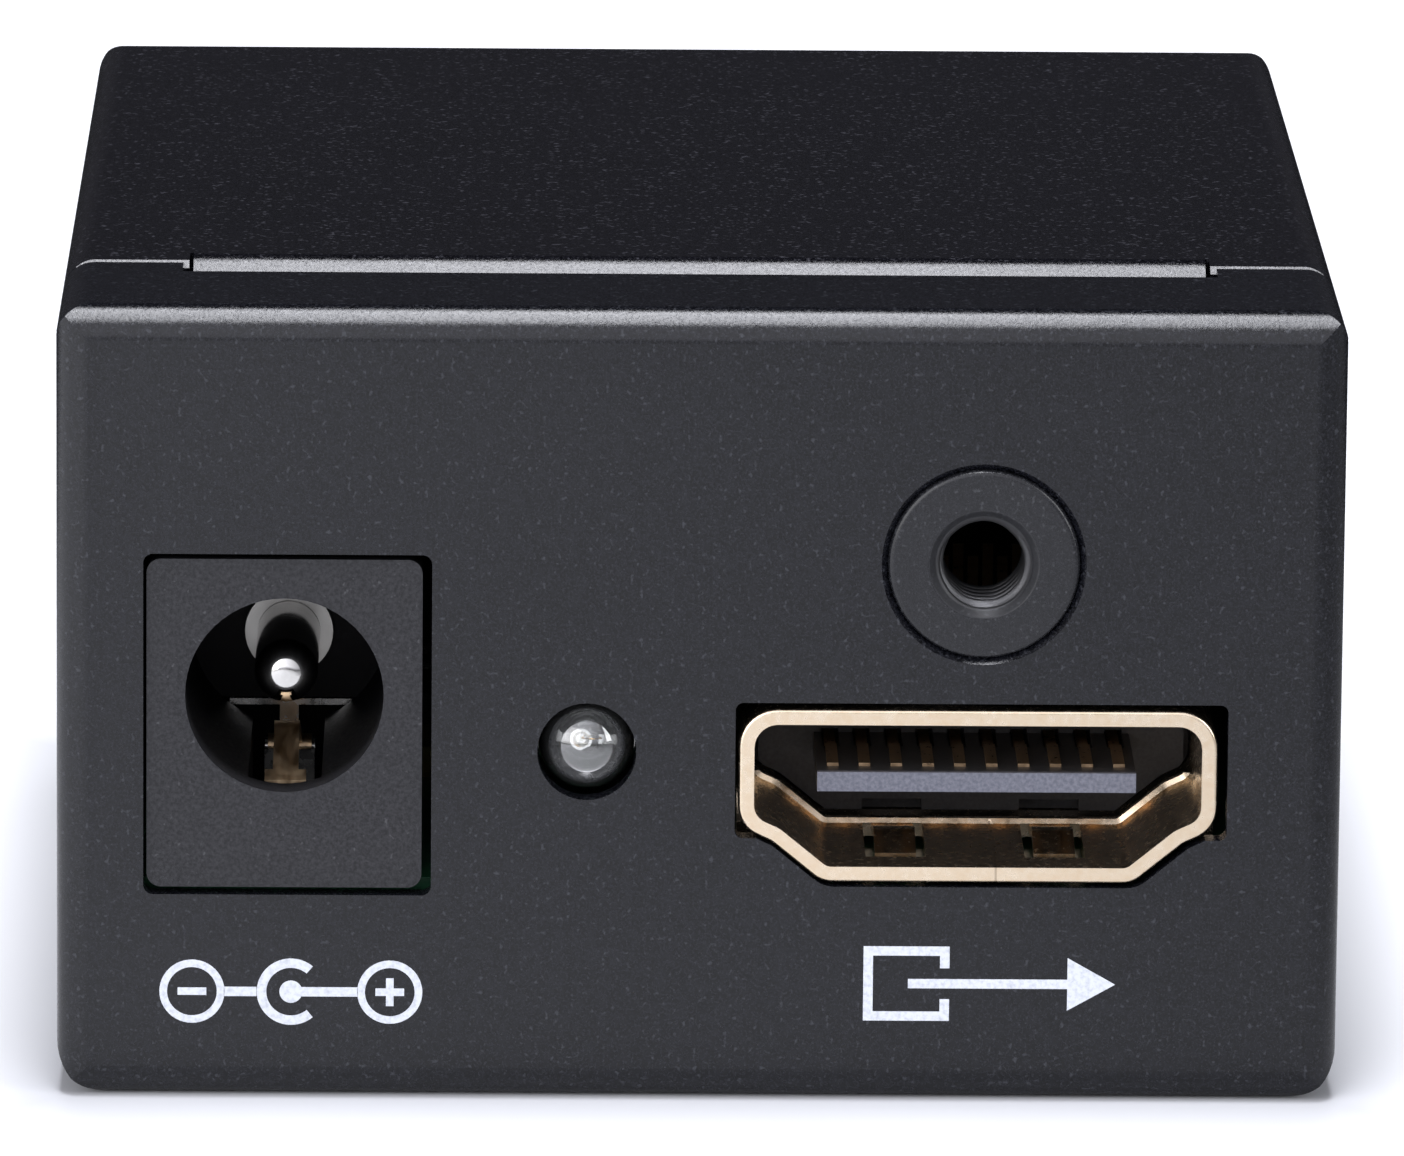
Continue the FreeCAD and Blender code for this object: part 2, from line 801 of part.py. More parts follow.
def port_insulator():
    x = port_x + board_shift
    mouth = front + port_recess
    body = mouth_prism(-insulator_gap, mouth + insulator_shoulder, mouth + insulator_back, x, port_z)
    body = body.fuse(mouth_prism(-insulator_step, mouth + insulator_face, mouth + insulator_shoulder,
                                 x, port_z))
    floor_half = mouth_floor_half - insulator_gap
    foot = place_port_box(-floor_half, floor_half, floor_back + insulator_gap, insulator_back,
                          -port_rise, 0)
    blade = place_port_box(-blade_width / 2, blade_width / 2, blade_front, insulator_face + 1,
                           blade_bottom, blade_top)
    body = body.fuse(foot).fuse(blade)
    for side in (-1, 1):
        centre = side * finger_spacing / 2
        for h0, h1 in ((-mouth_height / 2, -mouth_height / 2 + finger_room),
                       (mouth_height / 2 - finger_room, mouth_height / 2)):
            body = body.cut(place_port_box(centre - finger_slot_width / 2,
                                           centre + finger_slot_width / 2, insulator_face - 1,
                                           insulator_shoulder, h0, h1))
    body = body.cut(upper_contact_channels())
    body = body.cut(port_upper_contacts()).cut(port_lower_contacts())
    return body.removeSplitter()


def lock_nut():
    """Clinch nut behind the front panel: its shank comes flush with the outside."""
    centre = Vector(port_x, front, lock_z)
    inward = Vector(0, 1, 0)
    shank_end = centre + inward * sheet
    total = sheet + lock_head_height
    nut = rod(lock_shank_radius, centre, shank_end)
    rim = [edge for edge in nut.Edges if edge.BoundBox.YMax < front + 0.01]
    nut = nut.makeChamfer(lock_edge, rim)
    nut = nut.fuse(rod(lock_head_radius, shank_end, centre + inward * total))
    nut = nut.cut(rod(lock_thread_radius, centre - inward, centre + inward * (total + 1)))
    lead_in = lock_mouth_radius - lock_thread_radius
    return nut.cut(cone(lock_mouth_radius, lock_thread_radius, centre, centre + inward * lead_in))


def jack_depths(d0, d1):
    return front + jack_recess + d0, front + jack_recess + d1


def jack_block(x0, x1, d0, d1, h0, h1):
    """A block in the jack's own measures: across, depth from its face, height over the board."""
    x = jack_x + board_shift
    y0, y1 = jack_depths(d0, d1)
    return box(x + x0, x + x1, y0, y1, board_top + h0, board_top + h1)


def jack_cutout():
    low = board_top - jack_cut_gap
    high = board_top + jack_height + jack_cut_gap
    reach = jack_width / 2 + jack_cut_gap
    corners = [
        (jack_x - reach, low, jack_cut_corner),
        (jack_x + reach, low, jack_cut_corner),
        (jack_x + reach, high, jack_cut_corner),
        (jack_x - reach, high, jack_cut_corner),
    ]
    return profile_along_y(corners, front - 1, front + sheet + 1)


def tail_block(x, depth, across, along):
    y0, y1 = jack_depths(depth - along / 2, depth + along / 2)
    return box(x - across / 2, x + across / 2, y0, y1, board_bottom - tail_below_board, board_top + 1)


def jack_tails():
    """Slots in the board for the jack's three tails."""
    x = jack_x + board_shift
    across = tail_width + leg_gap
    along = tail_thickness + leg_gap
    return [
        tail_block(x, jack_depth, across, along),
        tail_block(x, spring_pivot_depth, across, spring_eye_radius * 2 + saddle_wall * 2 + leg_gap),
        tail_block(x + jack_body_width / 2, switch_depth, along, switch_width + leg_gap),
    ]


def jack_housing():
    x = jack_x + board_shift
    over = jack_axis_height + jack_body_over_axis
    y0, y1 = jack_depths(0, jack_face_depth)
    reach = jack_width / 2
    face = profile_along_y([
        (x - reach, board_top, jack_corner),
        (x + reach, board_top, jack_corner),
        (x + reach, board_top + jack_height, jack_corner),
        (x - reach, board_top + jack_height, jack_corner),
    ], y0, y1)
    reach = jack_body_width / 2
    y0, y1 = jack_depths(jack_face_depth, jack_depth)
    body = profile_along_y([
        (x - reach, board_top, 0),
        (x + reach, board_top, 0),
        (x + reach, board_top + over, jack_body_shoulder),
        (x - reach, board_top + over, jack_body_shoulder),
    ], y0, y1)
    y0, y1 = jack_depths(-1, barrel_depth)
    barrel = rod(barrel_radius, Vector(x, y0, jack_axis_z), Vector(x, y1, jack_axis_z))
    housing = face.fuse(body).cut(barrel)
    channel_roof = jack_axis_height - barrel_radius + channel_into_barrel
    channel = jack_block(-channel_width / 2, channel_width / 2, channel_front, channel_back,
                         channel_floor, channel_roof)
    rear_room = jack_block(-rear_room_half, rear_room_half, barrel_depth, channel_back,
                           channel_floor, channel_roof)
    housing = housing.cut(channel).cut(rear_room)
    housing = housing.cut(jack_pin())
    housing = housing.cut(sleeve_terminal_envelope())
    housing = housing.cut(switch_terminal())
    return housing.removeSplitter()


def jack_pin():
    """Centre pin with its collar at the barrel's floor and its tail down the back."""
    x = jack_x + board_shift
    tip, end = jack_depths(pin_tip, jack_depth)
    collar, floor = jack_depths(barrel_depth - pin_collar_length, barrel_depth)
    profile = rounded_face([
        (0, tip, 0),
        (pin_radius, tip, pin_tip_round),
        (pin_radius, collar, 0),
        (pin_collar_radius, collar, 0),
        (pin_collar_radius, floor, 0),
        (pin_radius, floor, 0),
        (pin_radius, end, 0),
        (0, end, 0),
    ], lambda u, v: Vector(x + u, v, jack_axis_z))
    pin = profile.revolve(Vector(x, 0, jack_axis_z), Vector(0, 1, 0), 360)
    top = jack_axis_height + pin_radius
    tail = jack_block(-tail_width / 2, tail_width / 2, jack_depth - tail_thickness / 2,
                      jack_depth + tail_thickness / 2, -board_thickness - tail_below_board, top)
    return pin.fuse(tail).removeSplitter()


def pivot_point():
    y, _ = jack_depths(spring_pivot_depth, 0)
    return Vector(jack_x + board_shift, y, board_top + spring_pivot_height)


def sleeve_spring():
    """Leaf that presses on the plug's sleeve: an eye at the root, a rise and a dipped, wider toe."""
    x = jack_x + board_shift
    pivot = pivot_point()
    bump_y, tip_y = jack_depths(spring_bump_depth, spring_tip_depth)
    bump_z = board_top + spring_bump_height
    tip_z = board_top + spring_tip_height
    thick = spring_thickness
    corners = [
        (pivot.y, pivot.z + spring_eye_radius - thick, 0),
        (pivot.y, pivot.z + spring_eye_radius, 0),
        (bump_y, bump_z, spring_bump_radius),
        (tip_y + spring_toe, tip_z, spring_toe_radius),
        (tip_y, tip_z, 0),
        (tip_y, tip_z - thick, 0),
        (tip_y + spring_toe + thick * 0.3, tip_z - thick, spring_toe_radius - thick),
        (bump_y, bump_z - thick * 1.1, spring_bump_radius - thick),
    ]
    leaf = profile_along_x(corners, x - spring_width / 2, x + spring_width / 2)
    toe = profile_along_x(corners, x - spring_toe_width / 2, x + spring_toe_width / 2)
    toe = toe.common(jack_block(-spring_toe_width, spring_toe_width, 0,
                                spring_tip_depth + spring_toe_length, 0, jack_height))
    eye = rod(spring_eye_radius, pivot - Vector(spring_eye_width / 2, 0, 0),
              pivot + Vector(spring_eye_width / 2, 0, 0))
    return leaf.fuse(toe).fuse(eye).removeSplitter()


def sleeve_terminal_envelope():
    reach = spring_eye_radius + saddle_gap + saddle_wall
    return jack_block(-tail_width / 2, tail_width / 2, spring_pivot_depth - reach,
                      spring_pivot_depth + reach, -1, spring_pivot_height + reach)


def sleeve_terminal():
    """Saddle that the spring's eye sits in, with its tail through the board."""
    pivot = pivot_point()
    reach = spring_eye_radius + saddle_gap + saddle_wall
    saddle = jack_block(-tail_width / 2, tail_width / 2, spring_pivot_depth - reach,
                        spring_pivot_depth + reach, 0, spring_pivot_height + saddle_over_pivot)
    seat = rod(spring_eye_radius + saddle_gap, pivot - Vector(tail_width, 0, 0),
               pivot + Vector(tail_width, 0, 0))
    tail = jack_block(-tail_width / 2, tail_width / 2, spring_pivot_depth - tail_thickness / 2,
                      spring_pivot_depth + tail_thickness / 2,
                      -board_thickness - tail_below_board, tail_lap)
    return saddle.cut(seat).fuse(tail).removeSplitter()


def switch_terminal():
    """Fixed contact across the barrel's far end: a nib over the spring, a tail down one side."""
    side = jack_body_width / 2
    near = switch_depth - switch_width / 2
    far = switch_depth + switch_width / 2
    low = switch_arm_height
    high = low + switch_thickness
    arm = jack_block(-switch_arm_reach, side + tail_thickness / 2, near, far, low, high)
    nib = jack_block(-switch_nib_width / 2, switch_nib_width / 2, near, near + switch_nib_length,
                     spring_top_at(near) + switch_gap, low)
    tail = jack_block(side - tail_thickness / 2, side + tail_thickness / 2, near, far,
                      -board_thickness - tail_below_board, high)
    return arm.fuse(nib).fuse(tail).removeSplitter()


def spring_top_at(depth):
    """Upper face of the spring's long arm over the board, at a depth behind its bump."""
    root = spring_pivot_height + spring_eye_radius
    share = (spring_pivot_depth - depth) / (spring_pivot_depth - spring_bump_depth)
    return root + (spring_bump_height - root) * share


def light_axis():
    return light_x + board_shift


def lens_solid():
    x = light_axis()
    tip = front + lens_recess
    base = tip + lens_length
    body = rod(lens_radius, Vector(x, tip + lens_radius, light_z), Vector(x, base, light_z))
    dome = Part.makeSphere(lens_radius, Vector(x, tip + lens_radius, light_z))
    flange = rod(lens_flange_radius, Vector(x, base - lens_flange_length, light_z),
                 Vector(x, base, light_z))
    return body.fuse(dome).fuse(flange).removeSplitter()


def light_leads():
    """Two square leads: the left one ends in a reflector cup, the right one in a post."""
    x = light_axis()
    base = front + lens_recess + lens_length
    leads = []
    for side in (-1, 1):
        centre = x + side * lead_pitch / 2
        inside = base - lead_inside
        bend = base + lead_run
        corners = [
            (inside, light_z - lead_size / 2, 0),
            (bend - lead_size, light_z - lead_size / 2, lead_bend_inside),
            (bend - lead_size, board_bottom - lead_below_board, 0),
            (bend, board_bottom - lead_below_board, 0),
            (bend, light_z + lead_size / 2, lead_bend_outside),
            (inside, light_z + lead_size / 2, 0),
        ]
        straight = profile_along_x(corners, centre - lead_size / 2, centre + lead_size / 2)
        if side < 0:
            start = Vector(x - anvil_radius / 2, inside - anvil_length, light_z)
            anvil = rod(anvil_radius, start, start + Vector(0, anvil_length + lead_size, 0))
            cup = cone(cup_radius, cup_floor_radius, start, start + Vector(0, cup_depth, 0))
            link = box(centre - lead_size / 2, start.x, inside, inside + lead_size,
                       light_z - lead_size / 2, light_z + lead_size / 2)
            straight = straight.fuse(anvil.cut(cup)).fuse(link)
        else:
            post = box(centre - post_reach, centre + lead_size / 2,
                       inside - post_length, inside + lead_size,
                       light_z - lead_size / 2, light_z + lead_size / 2)
            straight = straight.fuse(post)
        leads.append(straight.removeSplitter())
    return leads


def light_tails():
    x = light_axis()
    bend = front + lens_recess + lens_length + lead_run
    gap = leg_gap / 2
    holes = []
    for side in (-1, 1):
        centre = x + side * lead_pitch / 2
        holes.append(box(centre - lead_size / 2 - gap, centre + lead_size / 2 + gap,
                         bend - lead_size - gap, bend + gap, board_bottom - 1, board_top + 1))
    return holes


def status_light_lens():
    lens = lens_solid()
    for lead in light_leads():
        lens = lens.cut(lead)
    return lens


def block_on_board(size, place):
    x, y = place
    x += board_shift
    wide, long, tall = size
    return box(x - wide / 2, x + wide / 2, y - long / 2, y + long / 2, board_top, board_top + tall)


def chamfered_block(size, place, chamfer):
    block = block_on_board(size, place)
    top = [edge for edge in block.Edges if edge.BoundBox.ZMin > board_top + size[2] - 0.01]
    return block.makeChamfer(chamfer, top)


def gull_pin(place, body_half, side, offset, pin_across):
    """A bent pin that leaves the body's side at mid height and lands on the board."""
    x = place[0] + board_shift + side * body_half
    y = place[1] + offset
    reach = side * pin_reach
    shoulder = side * pin_shoulder
    inside = side * (pin_shoulder - pin_thickness)
    inner = sorted((x, x + shoulder))
    outer = sorted((x + inside, x + reach))
    riser = sorted((x + inside, x + shoulder))
    y0 = y - pin_across / 2
    y1 = y + pin_across / 2
    top = board_top + pin_lift + pin_thickness
    high = box(inner[0], inner[1], y0, y1, board_top + pin_lift, top)
    rise = box(riser[0], riser[1], y0, y1, board_top, top)
    foot = box(outer[0], outer[1], y0, y1, board_top, board_top + pin_thickness)
    return high.fuse(rise).fuse(foot).removeSplitter()


def shifter_leads():
    pins = []
    for side in (-1, 1):
        for i in range(shifter_pins):
            offset = (i - (shifter_pins - 1) / 2) * shifter_pin_pitch
            pins.append(gull_pin(shifter_place, shifter_size[0] / 2, side, offset, pin_width))
    return Part.makeCompound(pins)


def regulator_leads():
    body_half = regulator_size[0] / 2
    pins = [gull_pin(regulator_place, body_half, 1, 0, tab_pin_width)]
    for i in (-1, 0, 1):
        pins.append(gull_pin(regulator_place, body_half, -1, i * regulator_pin_pitch,
                             regulator_pin_width))
    return Part.makeCompound(pins)


def row_places(columns, pitch, rows, centre_x):
    places = []
    for y in rows:
        for i in range(columns):
            places.append((centre_x + (i - (columns - 1) / 2) * pitch, y))
    return places


def chip_capacitors():
    blocks = []
    for i in range(chip_capacitor_count):
        y = (i - (chip_capacitor_count - 1) / 2) * chip_capacitor_pitch
        blocks.append(block_on_board(chip_capacitor_size, (port_x - chip_capacitor_from_port, y)))
    return Part.makeCompound(blocks)


def chip_resistors():
    size = (chip_resistor_size[1], chip_resistor_size[0], chip_resistor_size[2])
    places = row_places(chip_resistor_columns, chip_resistor_pitch,
                        [-chip_resistor_row_y, chip_resistor_row_y], equalizer_x)
    return Part.makeCompound([block_on_board(size, p) for p in places])


def surge_arrays():
    places = row_places(surge_array_columns, surge_array_pitch, [-surge_array_y, surge_array_y],
                        port_x - surge_array_from_port)
    return Part.makeCompound([block_on_board(surge_array_size, p) for p in places])


def can_capacitor():
    x, y = can_place
    centre = Vector(x + board_shift, y, board_top + can_base_height)
    can = rod(can_radius, centre, centre + Vector(0, 0, can_height - can_base_height))
    rim = [edge for edge in can.Edges if edge.BoundBox.ZMin > board_top + can_height - 0.01]
    return can.makeChamfer(can_edge, rim)


def can_capacitor_base():
    base = block_on_board((can_base, can_base, can_base_height), can_place)
    corners = [edge for edge in base.Edges if edge.BoundBox.ZLength > can_base_height / 2
               and edge.BoundBox.XMin > can_place[0]]
    return base.makeChamfer(can_base / 6, corners)


def write(name, shape):
    if not shape.isValid():
        raise ValueError(name + " is not a valid shape")
    shape.exportStep("parts/" + name + ".step")
    print(name, len(shape.Solids), "solid(s)", round(shape.Volume, 3), "mm3")


def port_pieces():
    return {
        "hdmi_shell": port_shell(),
        "hdmi_insulator": port_insulator(),
        "hdmi_upper_contacts": port_upper_contacts(),
        "hdmi_lower_contacts": port_lower_contacts(),
    }


def main():
    os.makedirs("parts", exist_ok=True)
    write("lower_chassis", lower_chassis())
    write("upper_cover", upper_cover())
    write("cover_screws", cover_screws())
    write("board_standoffs", board_standoffs())
    write("board_screws", board_screws())
    write("main_board", main_board())
    for name, shape in port_pieces().items():
        write("output_" + name, shape)
        write("input_" + name, facing_rear(shape))
    nut = lock_nut()
    write("output_lock_nut", nut)
    rear_nut = nut.copy()
    rear_nut.rotate(Vector(port_x, 0, 0), Vector(0, 0, 1), 180)
    write("input_lock_nut", rear_nut)
    write("dc_jack_housing", jack_housing())
    write("dc_jack_center_pin", jack_pin())
    write("dc_jack_sleeve_spring", sleeve_spring())
    write("dc_jack_sleeve_terminal", sleeve_terminal())
    write("dc_jack_switch_terminal", switch_terminal())
    write("status_light_lens", status_light_lens())
    write("status_light_leads", Part.makeCompound(light_leads()))
    write("equalizer_chip", chamfered_block(equalizer_size, equalizer_place, equalizer_edge))
    write("level_shifter_chip", chamfered_block(shifter_size, shifter_place, chip_edge))
    write("level_shifter_leads", shifter_leads())
    write("voltage_regulator", chamfered_block(regulator_size, regulator_place, chip_edge))
    write("voltage_regulator_leads", regulator_leads())
    write("resettable_fuse", block_on_board(fuse_size, fuse_place))
    write("polarity_diode", chamfered_block(diode_size, diode_place, diode_edge))
    write("bulk_capacitor", can_capacitor())
    write("bulk_capacitor_base", can_capacitor_base())
    write("chip_capacitors", chip_capacitors())
    write("chip_resistors", chip_resistors())
    write("surge_arrays", surge_arrays())


main()
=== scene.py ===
import math

import bmesh
import bpy
from mathutils import Matrix, Vector


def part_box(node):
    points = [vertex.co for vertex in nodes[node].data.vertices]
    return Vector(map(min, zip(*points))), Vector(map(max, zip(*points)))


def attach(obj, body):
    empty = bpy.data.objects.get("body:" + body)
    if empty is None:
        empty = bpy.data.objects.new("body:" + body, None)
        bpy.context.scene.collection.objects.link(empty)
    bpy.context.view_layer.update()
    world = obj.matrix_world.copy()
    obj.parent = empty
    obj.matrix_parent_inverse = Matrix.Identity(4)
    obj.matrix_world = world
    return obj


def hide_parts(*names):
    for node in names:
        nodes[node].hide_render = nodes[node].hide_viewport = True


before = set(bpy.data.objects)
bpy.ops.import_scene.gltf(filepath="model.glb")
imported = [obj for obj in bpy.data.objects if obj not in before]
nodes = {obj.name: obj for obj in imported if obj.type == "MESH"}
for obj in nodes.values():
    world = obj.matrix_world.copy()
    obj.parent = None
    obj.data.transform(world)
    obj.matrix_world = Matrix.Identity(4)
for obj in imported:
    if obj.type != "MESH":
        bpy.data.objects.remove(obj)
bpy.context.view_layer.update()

scene = bpy.context.scene
MM = 0.001

# Places read from the frame
chassis_low, chassis_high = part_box("lower_chassis")
front = chassis_low.y
half_width = chassis_high.x
nut_low, nut_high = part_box("output_lock_nut")
nut_centre = (nut_low + nut_high) / 2
shell_low, shell_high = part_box("output_hdmi_shell")
port_x = (shell_low.x + shell_high.x) / 2
jack_low, jack_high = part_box("dc_jack_housing")
jack_x = (jack_low.x + jack_high.x) / 2

# Lock nut in millimetres; depths run inward from its outer face
nut_length = 3.2
nut_mouth_radius = 1.70
nut_edge_round = 0.18
nut_neck_radius = 3.0
nut_neck_length = 0.8
nut_body_radius = 3.9
nut_body_edge = 0.08
nut_back_radius = 1.60
nut_back_lead = 1.62
thread_pitch = 0.5
thread_minor_radius = 1.25
thread_depth = 0.24
thread_crest_flat = 0.08
thread_root_flat = 0.88

# Status light in millimetres; depths run inward from the dome's tip
lens_radius = 1.5
lens_length = 5.0
lens_rim_radius = 1.85
lens_rim_front = 4.1
lens_rim_edge = 0.04

# Printed ink in millimetres: how far it stands out of the panel and how far it goes in
ink_proud = 0.02
ink_sunk = 0.01


# Camera

def place_camera():
    """The camera that was fitted to the box's edges in the photo."""
    focal_px = 13795.9
    photo_width_px = 1404.0
    sensor_mm = 36.0
    yaw = math.radians(0.86)
    pitch = math.radians(12.391)
    roll = math.radians(0.52)
    eye = Vector((-6.27, -443.17, 108.99)) * MM
    ahead = Vector((math.sin(yaw) * math.cos(pitch), math.cos(yaw) * math.cos(pitch),
                    -math.sin(pitch)))
    level = Vector((math.cos(yaw), -math.sin(yaw), 0))
    above = level.cross(ahead)
    right = level * math.cos(roll) + above * math.sin(roll)
    up = above * math.cos(roll) - level * math.sin(roll)
    data = bpy.data.cameras.new("camera")
    data.sensor_fit = "HORIZONTAL"
    data.sensor_width = sensor_mm
    data.lens = focal_px / photo_width_px * sensor_mm
    data.clip_start = 0.01
    data.clip_end = 20.0
    camera = bpy.data.objects.new("camera", data)
    scene.collection.objects.link(camera)
    turn = Matrix((right, up, -ahead)).transposed().to_4x4()
    camera.matrix_world = Matrix.Translation(eye) @ turn
    scene.camera = camera


# Shader nodes

class Wiring:
    """Short ways to add and join shader nodes in one tree."""

    def __init__(self, tree):
        self.tree = tree

    def link(self, source, target):
        self.tree.links.new(source, target)

    def feed(self, source, socket):
        """Joins an output to a socket, or sets the socket to a number or a colour."""
        if isinstance(source, (int, float)):
            socket.default_value = source
        elif isinstance(source, tuple):
            socket.default_value = (*source, 1)
        else:
            self.link(source, socket)

    def ramp(self, value, stops):
        """Colour ramp; stops are (position, colour) in rising order."""
        node = self.tree.nodes.new("ShaderNodeValToRGB")
        elements = node.color_ramp.elements
        elements[0].position, elements[0].color = stops[0][0], (*stops[0][1], 1)
        elements[1].position, elements[1].color = stops[-1][0], (*stops[-1][1], 1)
        for position, colour in stops[1:-1]:
            elements.new(position).color = (*colour, 1)
        self.link(value, node.inputs[0])
        return node.outputs["Color"]

    def spread(self, value, low, high, over=(0.3, 0.7)):
        """Gives low to high as the value runs over a span; noise mostly keeps to 0.3 to 0.7."""
        node = self.tree.nodes.new("ShaderNodeMapRange")
        node.inputs["From Min"].default_value = over[0]
        node.inputs["From Max"].default_value = over[1]
        node.inputs["To Min"].default_value = low
        node.inputs["To Max"].default_value = high
        self.link(value, node.inputs["Value"])
        return node.outputs["Result"]

    def mix(self, factor, a, b):
        """Colour a where the factor is 0, colour b where it is 1."""
        node = self.tree.nodes.new("ShaderNodeMix")
        node.data_type = "RGBA"
        self.feed(factor, node.inputs[0])
        self.feed(a, node.inputs[6])
        self.feed(b, node.inputs[7])
        return node.outputs[2]

    def math(self, operation, a, b=None):
        node = self.tree.nodes.new("ShaderNodeMath")
        node.operation = operation
        self.feed(a, node.inputs[0])
        if b is not None:
            self.feed(b, node.inputs[1])
        return node.outputs[0]

    def split(self, vector):
        """The X, Y and Z outputs of a vector."""
        node = self.tree.nodes.new("ShaderNodeSeparateXYZ")
        self.link(vector, node.inputs[0])
        return node.outputs


# Light and floor

def area_light(name, azimuth, elevation, distance, size, power, colour):
    """A lamp that faces the middle of the object; azimuth 0 is in front, 90 on its right."""
    aim = Vector((0, 0, 12)) * MM
    a = math.radians(azimuth)
    e = math.radians(elevation)
    out = Vector((math.sin(a) * math.cos(e), -math.cos(a) * math.cos(e), math.sin(e)))
    data = bpy.data.lights.new(name, "AREA")
    data.shape = "RECTANGLE"
    data.size, data.size_y = size
    data.energy = power
    data.color = colour
    lamp = bpy.data.objects.new(name, data)
    scene.collection.objects.link(lamp)
    lamp.location = out * distance + aim
    lamp.rotation_euler = out.to_track_quat("Z", "Y").to_euler()


def place_lamps():
    area_light("overhead", azimuth=0, elevation=88, distance=0.55, size=(0.13, 0.50),
               power=3.1, colour=(0.93, 0.94, 1.0))
    area_light("key", azimuth=-42, elevation=20, distance=0.7, size=(0.60, 0.48),
               power=1.4, colour=(1.0, 0.99, 0.98))
    area_light("side", azimuth=57, elevation=22, distance=0.7, size=(0.22, 0.42),
               power=1.15, colour=(0.97, 0.98, 1.0))


def build_studio():
    """A dark room with one bright panel in front, brighter on its left."""
    room_by_height = [(0.0, (0.07, 0.07, 0.08)), (0.17, (0.032, 0.032, 0.036)),
                      (0.20, (0.020, 0.020, 0.023)), (0.50, (0.010, 0.010, 0.012)),
                      (1.0, (0.03, 0.03, 0.034))]
    panel_colour = (1.45, 1.46, 1.58)
    world = bpy.data.worlds.new("studio")
    scene.world = world
    world.use_nodes = True
    tree = world.node_tree
    tree.nodes.clear()
    wiring = Wiring(tree)
    toward = wiring.split(tree.nodes.new("ShaderNodeTexCoord").outputs["Generated"])
    room = wiring.ramp(toward["Z"], room_by_height)
    ahead = wiring.spread(toward["Y"], 1.0, 0.0, over=(-0.45, -0.15))
    lower_edge = wiring.spread(toward["Z"], 0.0, 1.0, over=(0.0, 0.14))
    upper_edge = wiring.spread(toward["Z"], 1.0, 0.0, over=(0.80, 0.97))
    panel = wiring.math("MULTIPLY", ahead, wiring.math("MULTIPLY", lower_edge, upper_edge))
    rightward = wiring.spread(toward["X"], 1.0, 0.35, over=(-0.10, 0.60))
    panel = wiring.math("MULTIPLY", panel, rightward)
    back = tree.nodes.new("ShaderNodeBackground")
    wiring.link(wiring.mix(panel, room, panel_colour), back.inputs["Color"])
    out = tree.nodes.new("ShaderNodeOutputWorld")
    wiring.link(back.outputs[0], out.inputs["Surface"])


def floor_white():
    """White that glows a little, apart from a narrow zone round the object where the glow fades
    out:
    a painted shade on top of its real shadow. Glossy rays find it darker behind the object and to
    its right, as in a studio."""
    paper = (0.80, 0.81, 0.84)
    glow_strength = 0.28
    painted_shade_zone = 5.0 * MM
    material = bpy.data.materials.new("floor_white")
    material.use_nodes = True
    tree = material.node_tree
    tree.nodes.clear()
    wiring = Wiring(tree)
    rays = tree.nodes.new("ShaderNodeLightPath").outputs
    place = wiring.split(tree.nodes.new("ShaderNodeTexCoord").outputs["Object"])

    behind = wiring.spread(place["Y"], 1.0, 0.03, over=(0.0, 0.06))
    beside = wiring.spread(place["X"], 1.20, 0.30, over=(-0.10, 0.08))
    lost = wiring.math("SUBTRACT", 1.0, wiring.math("MULTIPLY", behind, beside))
    lost = wiring.math("MULTIPLY", lost, rays["Is Glossy Ray"])
    kept = wiring.math("SUBTRACT", 1.0, lost)

    seen = wiring.math("MAXIMUM", rays["Is Camera Ray"], rays["Is Transmission Ray"])
    seen = wiring.math("ADD", wiring.math("MULTIPLY", seen, glow_strength),
                       wiring.math("MULTIPLY", rays["Is Glossy Ray"], glow_strength))
    # painted shade: the glow fades to nothing within 5 mm of the object's outline, darkening the
    # floor there
    out_x = wiring.math("SUBTRACT", wiring.math("ABSOLUTE", place["X"]), half_width)
    out_y = wiring.math("SUBTRACT", wiring.math("ABSOLUTE", place["Y"]), -front)
    clear = wiring.spread(wiring.math("MAXIMUM", out_x, out_y), 0.0, 1.0, over=(0.0, painted_shade_zone))
    seen = wiring.math("MULTIPLY", seen, clear)

    diffuse = tree.nodes.new("ShaderNodeBsdfDiffuse")
    wiring.link(wiring.mix(lost, paper, (0.0, 0.0, 0.0)), diffuse.inputs["Color"])
    glow = tree.nodes.new("ShaderNodeEmission")
    glow.inputs["Color"].default_value = (1, 1, 1, 1)
    wiring.link(wiring.math("MULTIPLY", seen, kept), glow.inputs["Strength"])
    total = tree.nodes.new("ShaderNodeAddShader")
    wiring.link(diffuse.outputs[0], total.inputs[0])
    wiring.link(glow.outputs[0], total.inputs[1])
    out = tree.nodes.new("ShaderNodeOutputMaterial")
    wiring.link(total.outputs[0], out.inputs["Surface"])
    return material


def make_floor():
    reach = 3.0
    level = -0.04 * MM
    mesh = bpy.data.meshes.new("floor")
    mesh.from_pydata([(-reach, -reach, level), (reach, -reach, level), (reach, reach, level),
                      (-reach, reach, level)], [], [(0, 1, 2, 3)])
    floor = bpy.data.objects.new("floor", mesh)
    scene.collection.objects.link(floor)
    mesh.materials.append(floor_white())


# Finishes

